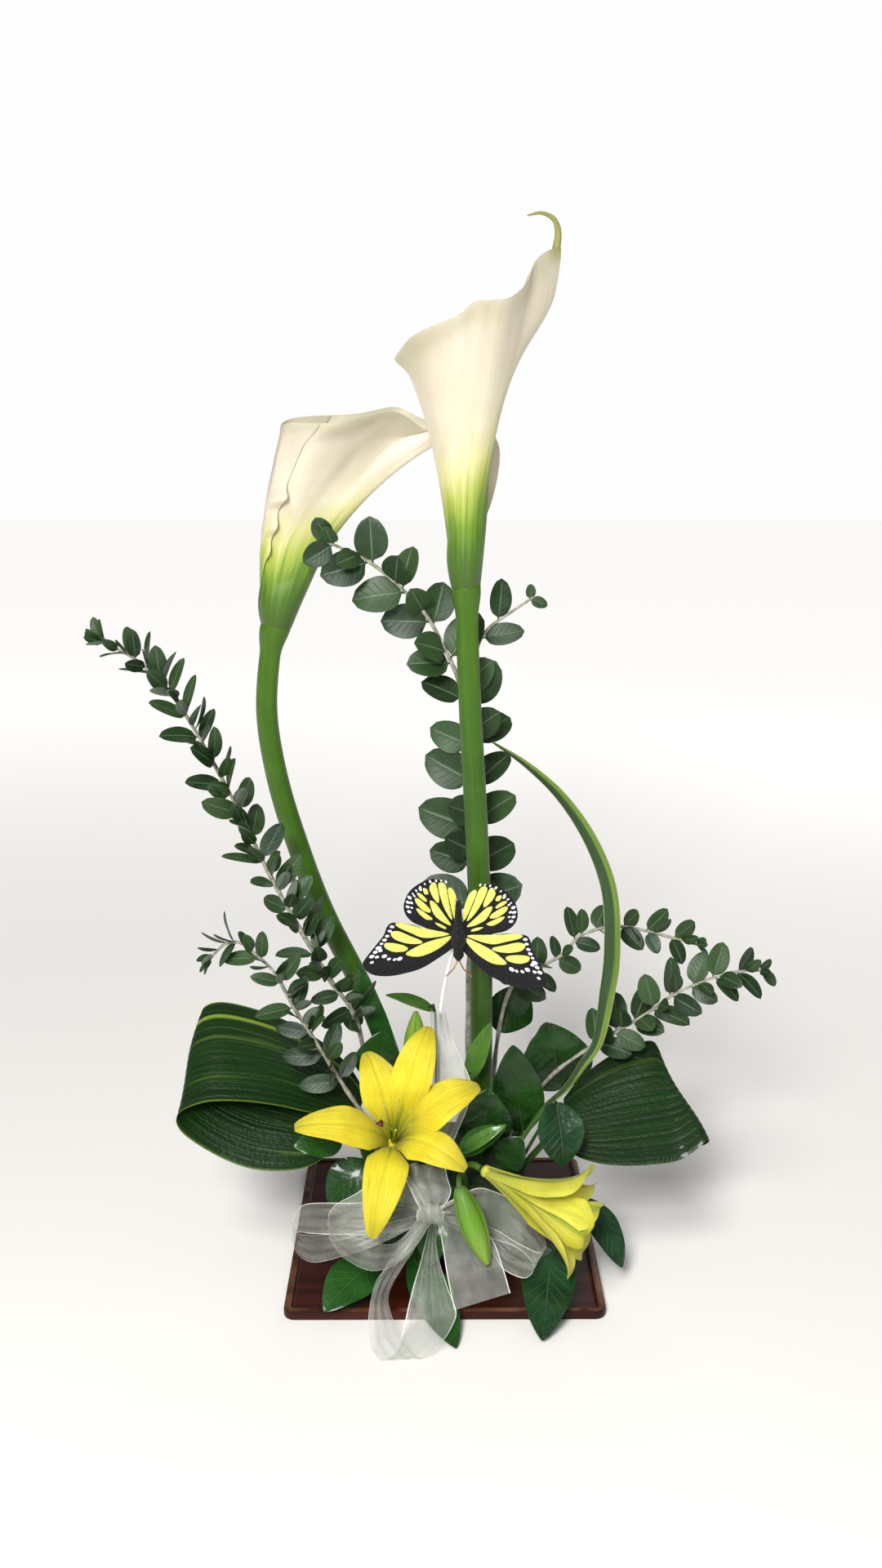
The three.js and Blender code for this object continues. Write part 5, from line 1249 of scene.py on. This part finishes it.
# %% Ribbon measures
RIBBON = 35.0
KNOT = np.array([-9, -85, 64.0])
BOW = [
    ([[-13, -82, 68], [-25.2, -70, 84.3], [-40.7, -66, 79.5], [-54.9, -66, 68.2], [-68.6, -70, 61.7],
      [-72.9, -76, 55.5], [-63.4, -80, 48], [-48.1, -82, 43.5], [-34.1, -82, 40.9], [-23.9, -84, 47.4], [-13, -84, 61]],
     [[-12, -82, 61], [-24.1, -74, 46.5], [-40.9, -70, 42.1], [-57.5, -72, 40.4], [-69.7, -82, 43.5],
      [-70.6, -98, 55.7], [-63.1, -106, 48], [-45.7, -110, 40.1], [-29.7, -108, 42.3], [-19.8, -100, 48.5],
      [-9.9, -88, 60]]),
    ([[-13, -82, 66], [-44.9, -62, 58.9], [-64.6, -58, 56.7], [-86.5, -60, 57.2], [-93.3, -64, 54.5],
      [-95.8, -70, 50.8], [-92.8, -72, 43.4], [-83.2, -72, 41.7], [-70.4, -72, 42.6], [-50.9, -76, 46], [-13, -84, 63]],
     [[-12, -82, 60], [-44.5, -76, 45.6], [-63.5, -78, 46.1], [-82.3, -82, 49.2], [-90.5, -88, 53.4],
      [-92.6, -96, 53.2], [-90.2, -100, 45.9], [-80.8, -102, 40.9], [-64.8, -100, 42.4], [-47.6, -92, 43.8],
      [-12, -85, 60]]),
    ([[-13, -85, 61], [-28.3, -86, 43.2], [-37.1, -92, 31.3], [-42.6, -103, 27.5], [-45.6, -116, 19.8],
      [-45.9, -130, 12.4], [-43.6, -139, 6.2], [-36.3, -143, 1.8], [-28.7, -134, 2.1], [-25.3, -120, 5.7],
      [-22.9, -112, 14.3], [-19.3, -104, 25.9], [-14.6, -96, 37.7], [-11, -89, 48.9], [-9, -86, 60]],
     [[-8, -84, 60], [-15, -84, 47.6], [-20.7, -88, 38], [-31.3, -97, 23.8], [-34.5, -110, 20], [-28.2, -128, 11],
      [-20.7, -138, 5.4], [-12.3, -141, 2.7], [-2.6, -134, 6.8], [4.6, -122, 11.1], [6.8, -114, 15.5],
      [1.9, -106, 25.7], [-3, -98, 38.9], [-5, -90, 49.4], [-5, -86, 60]]),
    ([[-8, -86, 65], [-3.9, -91, 58.4], [-1.1, -97, 46.6], [1.6, -104, 31.4], [5.6, -111, 13.9]],
     [[-2, -85, 66], [18, -80, 58], [29.8, -86, 46.2], [35.6, -95, 34.4], [40.2, -102, 20]]),
    ([[-4, -84, 68], [18.1, -74, 75.2], [31.2, -66, 68.7], [43.1, -62, 60.1], [53.4, -64, 49.8], [62.2, -70, 38.9],
      [63.2, -78, 35.1], [57.6, -82, 36.1], [44.8, -80, 41.8], [29.4, -78, 50.3], [-4, -84, 64]],
     [[-4, -84, 61], [20.7, -78, 46.6], [31.1, -74, 39.9], [42.7, -74, 35.6], [51.4, -80, 32.1], [55.1, -92, 30.9],
      [51.6, -98, 28.7], [45.9, -98, 28.3], [35.4, -92, 31.4], [25.4, -84, 41.8], [-4, -85, 59]]),
    ([[-13, -87, 63], [-19.9, -86, 78.1], [-25, -80, 86.6], [-28.2, -74, 92]],
     [[-4, -87, 64], [3.6, -82, 76], [1.6, -76, 84], [-0.3, -70, 89.9]]),
]
TAIL_UP = ([[-8.8, -40.2, 179.3], [-8.3, -42, 166.9], [-7.8, -44, 152.3], [-7.3, -46, 134.3], [-8.9, -48, 117.9],
            [-14.6, -53, 101.9], [-20.7, -58, 93.2]],
           [[0.5, -40.2, 179.3], [3.5, -41.5, 166.7], [9.2, -42, 151.4], [16.6, -42, 132.4], [15.5, -44, 117.7],
            [8.7, -50, 102], [3.5, -57, 92.6]])
print("the bow has", len(BOW), "runs of", RIBBON, "mm ribbon")

# %% Ribbon finish
FULL_TURN = 6.2832
weave, ins, outs = new_group("open weave", {"Threads": 60}, ["Threads", "Selvedge"])
part = put(weave, "ShaderNodeSeparateXYZ", {0: ins.outputs["Vector"]}).outputs
waves = [calc(weave, "SINE", times(weave, times(weave, part[k], ins.outputs["Threads"]), FULL_TURN))
         for k in (0, 1)]
weave.links.new(rise(weave, calc(weave, "MAXIMUM", *waves), 0.1, 1.0), outs.inputs["Threads"])
weave.links.new(rise(weave, off_middle(weave, part[1]), 0.945, 0.975), outs.inputs["Selvedge"])


def ribbon_finish(name, sheer):
    """Sheer ribbon. It hides the share sheer of what is behind it, and more on its threads, edge lines and
    creases."""
    finish, tree, shader = new_finish(name, 0.4, Sheen_Weight=0.2, Sheen_Roughness=0.4)
    uv, _, _ = surface_uv(tree)
    threads = use(tree, weave, uv, Threads=46)
    crease = mottled(tree, 48, 5)
    glints = use(tree, streaks, uv, Across=3, Along=2.2, Seed=5)["Mask"]
    colour = mix(tree, crease, paint(176, 180, 168), paint(206, 208, 198))
    colour = tint(tree, colour, glints, 0.2, (226, 228, 222))
    colour = mix(tree, threads["Selvedge"], colour, paint(240, 241, 234))
    cover = sheer
    for share, value in ((0.08, threads["Threads"]), (0.09, crease), (0.5, threads["Selvedge"])):
        cover = calc(tree, "MULTIPLY_ADD", value, share, cover)
    height = calc(tree, "ADD", crease, glints)
    wear(tree, shader, colour, height, 0.0006, alpha=calc(tree, "MINIMUM", cover, 1.0))
    return finish


sheer_ribbon = ribbon_finish("sheer_ribbon", 0.22)
layered_ribbon = ribbon_finish("layered_ribbon", 0.26)
twisted_ribbon = ribbon_finish("twisted_ribbon", 0.42)

# %% Bow
FOLDS = 3  # folds across the ribbon where it is gathered


def take_up(u, t, wide):
    """Folds as deep as half the width that is lost over twice the number of folds, strongest at the ends of a run,
    and a faint wave elsewhere."""
    lost = np.sqrt(np.maximum(0, 1 - (wide / RIBBON) ** 2))
    share = 0.18 + 0.82 * ease(np.abs(2 * u - 1), 0.45, 0.95)
    return RIBBON / 2 * lost / (2 * FOLDS) * share * np.sin(np.pi * FOLDS * t + 1.5 * u) + 0.35 * np.sin(11 * u + 2 * t)


def ribbon_run(edges, rows=90, columns=41):
    """One run as a band, whose along mark counts ribbon widths, and its cut length and its area."""
    grid = between(edges, rows, columns, take_up)
    middle = [(np.array(a) + b) / 2 for a, b in zip(*edges)]
    run = length_of(middle)
    steps = np.diff(grid, axis=0)[:, :-1], np.diff(grid, axis=1)[:-1]
    area = float(np.linalg.norm(np.cross(*steps), axis=-1).sum())
    return band(grid, along=np.linspace(0, run / RIBBON, rows)[:, None]), run, area


bands, runs, areas = zip(*[ribbon_run(edges) for edges in BOW])
bow = make_piece("sheer_bow", bands, sheer_ribbon, ["ribbon_bow"])
print(f"the bow's ribbon is {sum(runs):.0f} mm long and covers {sum(areas) / 100:.0f} cm2")


def knot_middle(rows=64, columns=25):
    """The ribbon wound once round the gathered bow: an oval ring in the upright plane, wide along X, drawn in at
    both edges and creased where it is pulled tight."""
    a, t = np.linspace(0, 2 * np.pi, rows)[:, None], np.linspace(-1, 1, columns)[None]
    pinch = 1 - 0.3 * np.abs(t) ** 3 + 0.05 * np.sin(3 * np.pi * t + 2 * np.sin(a))
    x = 7.6 * t * (1 + 0.1 * np.cos(2 * a)) + 0 * a
    points = np.stack([x, -4.6 * np.cos(a) * pinch, 6.4 * np.sin(a) * pinch], -1)
    points[-1] = points[0]
    return points + KNOT


knot_band = band(knot_middle(), along=np.linspace(0, 1.2, 64)[:, None])
knot = make_piece("ribbon_knot", [knot_band], layered_ribbon)
tail_band, run, area = ribbon_run(TAIL_UP, 70, 31)
tail = make_piece("upright_ribbon", [tail_band], twisted_ribbon, ["ribbon_tail"])

# %% [markdown]
# ## The butterfly
# The butterfly is a flat craft piece: black wings with raised yellow cells between the veins, and small white
# dots along the margin. Every outline, of a wing or a cell, is a smooth closed line through a few points. Each
# is filled by drawing that line in towards its middle, ring by ring, which also gives the cells their low
# domed top. The right pair is the left pair mirrored and turned a little.

# %% Butterfly measures
HIND = [[-2, 2], [-1.9, 16.5], [-5, 23.7], [-10.2, 30.9], [-16.4, 33], [-23.6, 30.9], [-30.8, 25.8], [-34.4, 18.5],
        [-33.9, 12.4], [-29.8, 7.2], [-23.6, 4.1], [-15.3, 1], [-2, 0]]
FORE = [[-2, -1], [-19.5, 2.1], [-29.8, 5.2], [-41.1, 6.7], [-45.2, 4.1], [-47.3, -1], [-52.4, -7.2], [-59.1, -15.5],
        [-60.2, -18.5], [-57.6, -22.7], [-52.4, -25.2], [-43.2, -25.8], [-32.9, -24.2], [-23.6, -21.6],
        [-14.3, -16.5], [-2, -8]]
CELLS = [
    [[-4.8, 27], [-2.2, 23], [-1, 15], [-1.5, 8.5], [-3.2, 9.5], [-5.4, 18], [-6.8, 26]],
    [[-13, 29], [-10.5, 30.4], [-8, 27.6], [-6.4, 19], [-4.4, 8.5], [-7.8, 12.5], [-11, 20]],
    [[-18.5, 27.6], [-16.5, 30.6], [-14.4, 29.4], [-12.6, 21], [-13.7, 18.6], [-17, 23]],
    [[-18, 19.4], [-14.5, 17.6], [-9.5, 11], [-5.2, 4.8], [-9.5, 6.2], [-15, 10.4], [-17.5, 15.6]],
    [[-22.6, 27.4], [-20.2, 26.6], [-19.5, 24], [-21.8, 24]],
    [[-26.5, 24.4], [-24, 24], [-20.6, 20.6], [-21.2, 19.2], [-24.8, 21.8]],
    [[-27.6, 21], [-25, 20.6], [-19.2, 15.5], [-18.4, 12.7], [-22.5, 13.8], [-26.6, 17.8]],
    [[-26.8, 14.8], [-24.4, 14.2], [-17.8, 9.6], [-17.4, 8.2], [-21, 8.5], [-25.2, 12]],
    [[-15, 6.1], [-11.2, 5], [-8.3, 3.2], [-8.8, 2.2], [-12.5, 3.8]],
    [[-39.3, 6.2], [-34, 5.9], [-25, 3.4], [-8.4, -0.2], [-9, -1.7], [-22, -2.8], [-31, 0.6], [-38.2, 4]],
    [[-42.6, 0.6], [-38, 1.2], [-31, -1.7], [-23.9, -4.9], [-25.2, -6.4], [-33, -6], [-40.6, -3.2]],
    [[-46.6, -6], [-42.5, -5.7], [-36, -7.1], [-32.7, -9], [-34.6, -10.8], [-41, -11], [-46, -8.8]],
    [[-5.4, -2.6], [-12, -3.7], [-22, -6.4], [-30.6, -10.4], [-33, -12.4], [-30.8, -13.7], [-24, -14],
     [-15, -10.8], [-8, -6]],
]
DOTS = [(-8.2, 31.2), (-11.2, 31.8), (-14.4, 31.9), (-18.2, 31.4), (-21.6, 30), (-24.4, 28), (-27, 26),
        (-29.2, 24.2), (-31.2, 21.8), (-32.3, 19), (-32.4, 16.2), (-31.4, 13.2), (-24.4, 26.8), (-28.2, 22.8),
        (-30, 18.6), (-29.8, 15.6), (-42.2, 4.2), (-43.6, 1.6), (-45.2, -1.4), (-46.9, -3.8), (-48.8, -6),
        (-50.6, -8.6), (-52.6, -11), (-54.8, -13.6), (-49.4, -10.2), (-51.6, -14), (-47, -13.6), (-44.2, -15.4),
        (-40.6, -15.8), (-37.4, -15.4), (-54.8, -17.2)]
TRUNK = [[0, 20, 3.2], [0, 10, 3.8], [0, 2, 4.2], [0, -8, 4.4], [0, -13, 4.2], [0, -17.5, 4.0]]
GIRTH = [[0, 0.04, 0.3, 0.42, 0.55, 0.72, 0.8, 0.92, 1],  # the share of the body's length, and the radius there
         [0.6, 1.5, 2.1, 2.7, 4.1, 3.9, 2.7, 2.9, 0.8]]
PLACE = np.array([8.6, -44, 233])
STOOD_UP, TIPPED, RIGHT_TURN = (math.radians(angle) for angle in (76, 14, -11))
print("the butterfly has", len(CELLS), "cells and", len(DOTS), "dots on each side")


# %% Butterfly shapes
def outline(points, count):
    """A smooth closed line through points."""
    p = np.array(points, float)
    wrapped = np.concatenate([p[-2:], p, p[:3]])
    x = np.linspace(2, 2 + len(p), count) / (len(wrapped) - 1)
    ring = spline(wrapped, x)
    ring[-1] = ring[0]
    return ring


def grown(points, by):
    """An outline made larger by a factor about its own middle."""
    points = np.array(points, float)
    return points.mean(0) + (points - points.mean(0)) * by


def filled(points, thick, dome=0.0, rings=5, count=41, base=0.0):
    """A plate inside an outline: rings from the middle out to it at thick high with a domed top, down, and back."""
    ring = outline(points, count)
    middle = ring[:-1].mean(0)
    share = np.linspace(0, 1, rings)
    top = middle + (ring - middle) * share[:, None, None]
    high = base + thick / 2 + dome * np.sqrt(np.clip(1 - share**2, 0, 1))
    low = np.full(rings, base - thick / 2)
    plates = [np.concatenate([top, np.broadcast_to(h[:, None, None], (rings, count, 1))], -1) for h in (high, low)]
    return np.concatenate([plates[0], plates[1][::-1]])


def turned(a, b, angle):
    """Two coordinates turned by an angle: a cos - b sin, and a sin + b cos."""
    return a * math.cos(angle) - b * math.sin(angle), a * math.sin(angle) + b * math.cos(angle)


def stand_up(x, y, z):
    """Points of the flat butterfly, stood up to face the front and set in its place."""
    return np.stack([x, *turned(y, z, STOOD_UP)], -1) + PLACE


def wing_side(grid, side):
    """A left wing's grid in its place: tipped forward, or for the right also mirrored and turned a little."""
    x, y, z = np.moveaxis(np.asarray(grid, float), -1, 0)
    z, x = turned(z + 0.5, x, TIPPED)
    if side == "left":
        return stand_up(x, y, z)
    x, y = turned(-x, y, RIGHT_TURN)
    return stand_up(x, y, z)[:, ::-1]


def both_sides(plates):
    """Bands of each plate, on the left wings and again on the right."""
    return [band(wing_side(plate, side)) for plate in plates for side in ("left", "right")]


def dot(x, y):
    """A small oval spot whose long side points away from the body. Those at the fore wings' tips are larger."""
    angle, away = np.linspace(0, 2 * np.pi, 8, endpoint=False), math.atan2(y, x)
    size = (1.25 if y < -8 else 0.9) + 0.3 * float(scatter(int(10 * x), int(y)))
    along, across = turned(1.25 * size * np.cos(angle), 0.75 * size * np.sin(angle), away)
    return np.stack([x + along, y + across], -1)


fore = wing_side(filled(FORE, 1.0), "left")
print("the left fore wing, mm:", (fore.max((0, 1)) - fore.min((0, 1))).round(1))


# %% Butterfly finishes
def craft_finish(name, first, second, size, depth):
    """Flocked craft colour: a fine grainy mix of two shades with the same grain as bump."""
    finish, tree, shader = new_finish(name, 0.75, Sheen_Weight=0.05, Specular_IOR_Level=0.3)
    grains = mottled(tree, size, 6)
    wear(tree, shader, mix(tree, grains, paint(*first), paint(*second)), grains, depth)
    return finish


wing_black = craft_finish("wing_black", (9, 8, 12), (26, 25, 31), 900, 0.0004)
cell_yellow = craft_finish("cell_yellow", (206, 208, 84), (238, 238, 130), 700, 0.0003)
dot_white = craft_finish("dot_white", (226, 228, 236), (250, 250, 252), 700, 0.0003)
body_black = craft_finish("body_black", (10, 10, 13), (34, 33, 38), 500, 0.0012)

# %% Butterfly pieces
wings = both_sides([filled(HIND, 1.0, rings=6, count=65, base=-0.1),
                    filled(FORE, 1.0, rings=6, count=65, base=0.1)])
bridge = band(wing_side(filled([[-4, 4], [3, 4], [3, -8], [-4, -8]], 0.9, rings=4, count=33), "left"))
make_piece("black_wings", [*wings, bridge], wing_black, ["butterfly_wings"], 40)
cells = both_sides([filled(grown(cell, 1.04), 0.5, 0.35, base=0.55) for cell in CELLS])
make_piece("yellow_cells", cells, cell_yellow, (), 40)
dots = both_sides([filled(dot(x, y), 0.4, 0.2, rings=3, count=17, base=0.6) for x, y in DOTS])
make_piece("white_dots", dots, dot_white, (), 40)


def upright(points):
    """Points of the flat butterfly's body, stood up with its wings."""
    return stand_up(*np.moveaxis(np.array(points, float), -1, 0))


body = stem(upright(TRUNK), lambda s, a: 1.15 * np.interp(s, *GIRTH), 20, 60, (1, 0, 0))
make_piece("black_body", [body], body_black, ["butterfly_body"])
finish, tree, shader = new_finish("copper_wire", 0.35, Base_Color=paint(150, 96, 44), Metallic=0.6)
wear(tree, shader, height=mottled(tree, 400), depth=0.0001)
feelers = [[[0, -16, 4], [k * 3, -22, 4.5], [k * 8, -27, 5]] for k in (1, -1)]
wires = [stem(upright(path), 0.45, 7, 20, (1, 0.3, 0)) for path in feelers]
make_piece("feelers", wires, finish)

# %% [markdown]
# ## Sticks
# The butterfly stands on a white plastic rod, and a thin green pick holds the bow to the foam. Both are
# slim tubes, so their CAD shapes are made again with more sides and a finish with faint moulding marks.

# %% Sticks
STICK = [[-4, -20, 40], [-4, -30, 110], [-2.6, -38, 176], [3, -42.4, 212], [8.4, -43.1, 231]]
PICK = [[-10, -26, 50], [-10, -44, 56], [-10, -66, 62], [-9, -80, 64]]


def stick_finish(name, first, second):
    """Smooth plastic with faint lengthwise marks."""
    finish, tree, shader = new_finish(name, 0.35)
    uv, _, _ = surface_uv(tree)
    lines = use(tree, streaks, uv, Across=9, Along=6)
    wear(tree, shader, mix(tree, lines["Mask"], paint(*first), paint(*second)), lines["Fine"], 0.00005)
    return finish


make_piece("white_stick", [stem(STICK, 1.1, 14, 60, (1, 0.1, 0))],
           stick_finish("stick_white", (238, 238, 234), (250, 250, 248)), ["butterfly_stick"])
make_piece("green_pick", [stem(PICK, 1.2, 12, 30, (1, 0, 0))],
           stick_finish("pick_green", (60, 92, 44), (82, 116, 60)), ["ribbon_pick"])
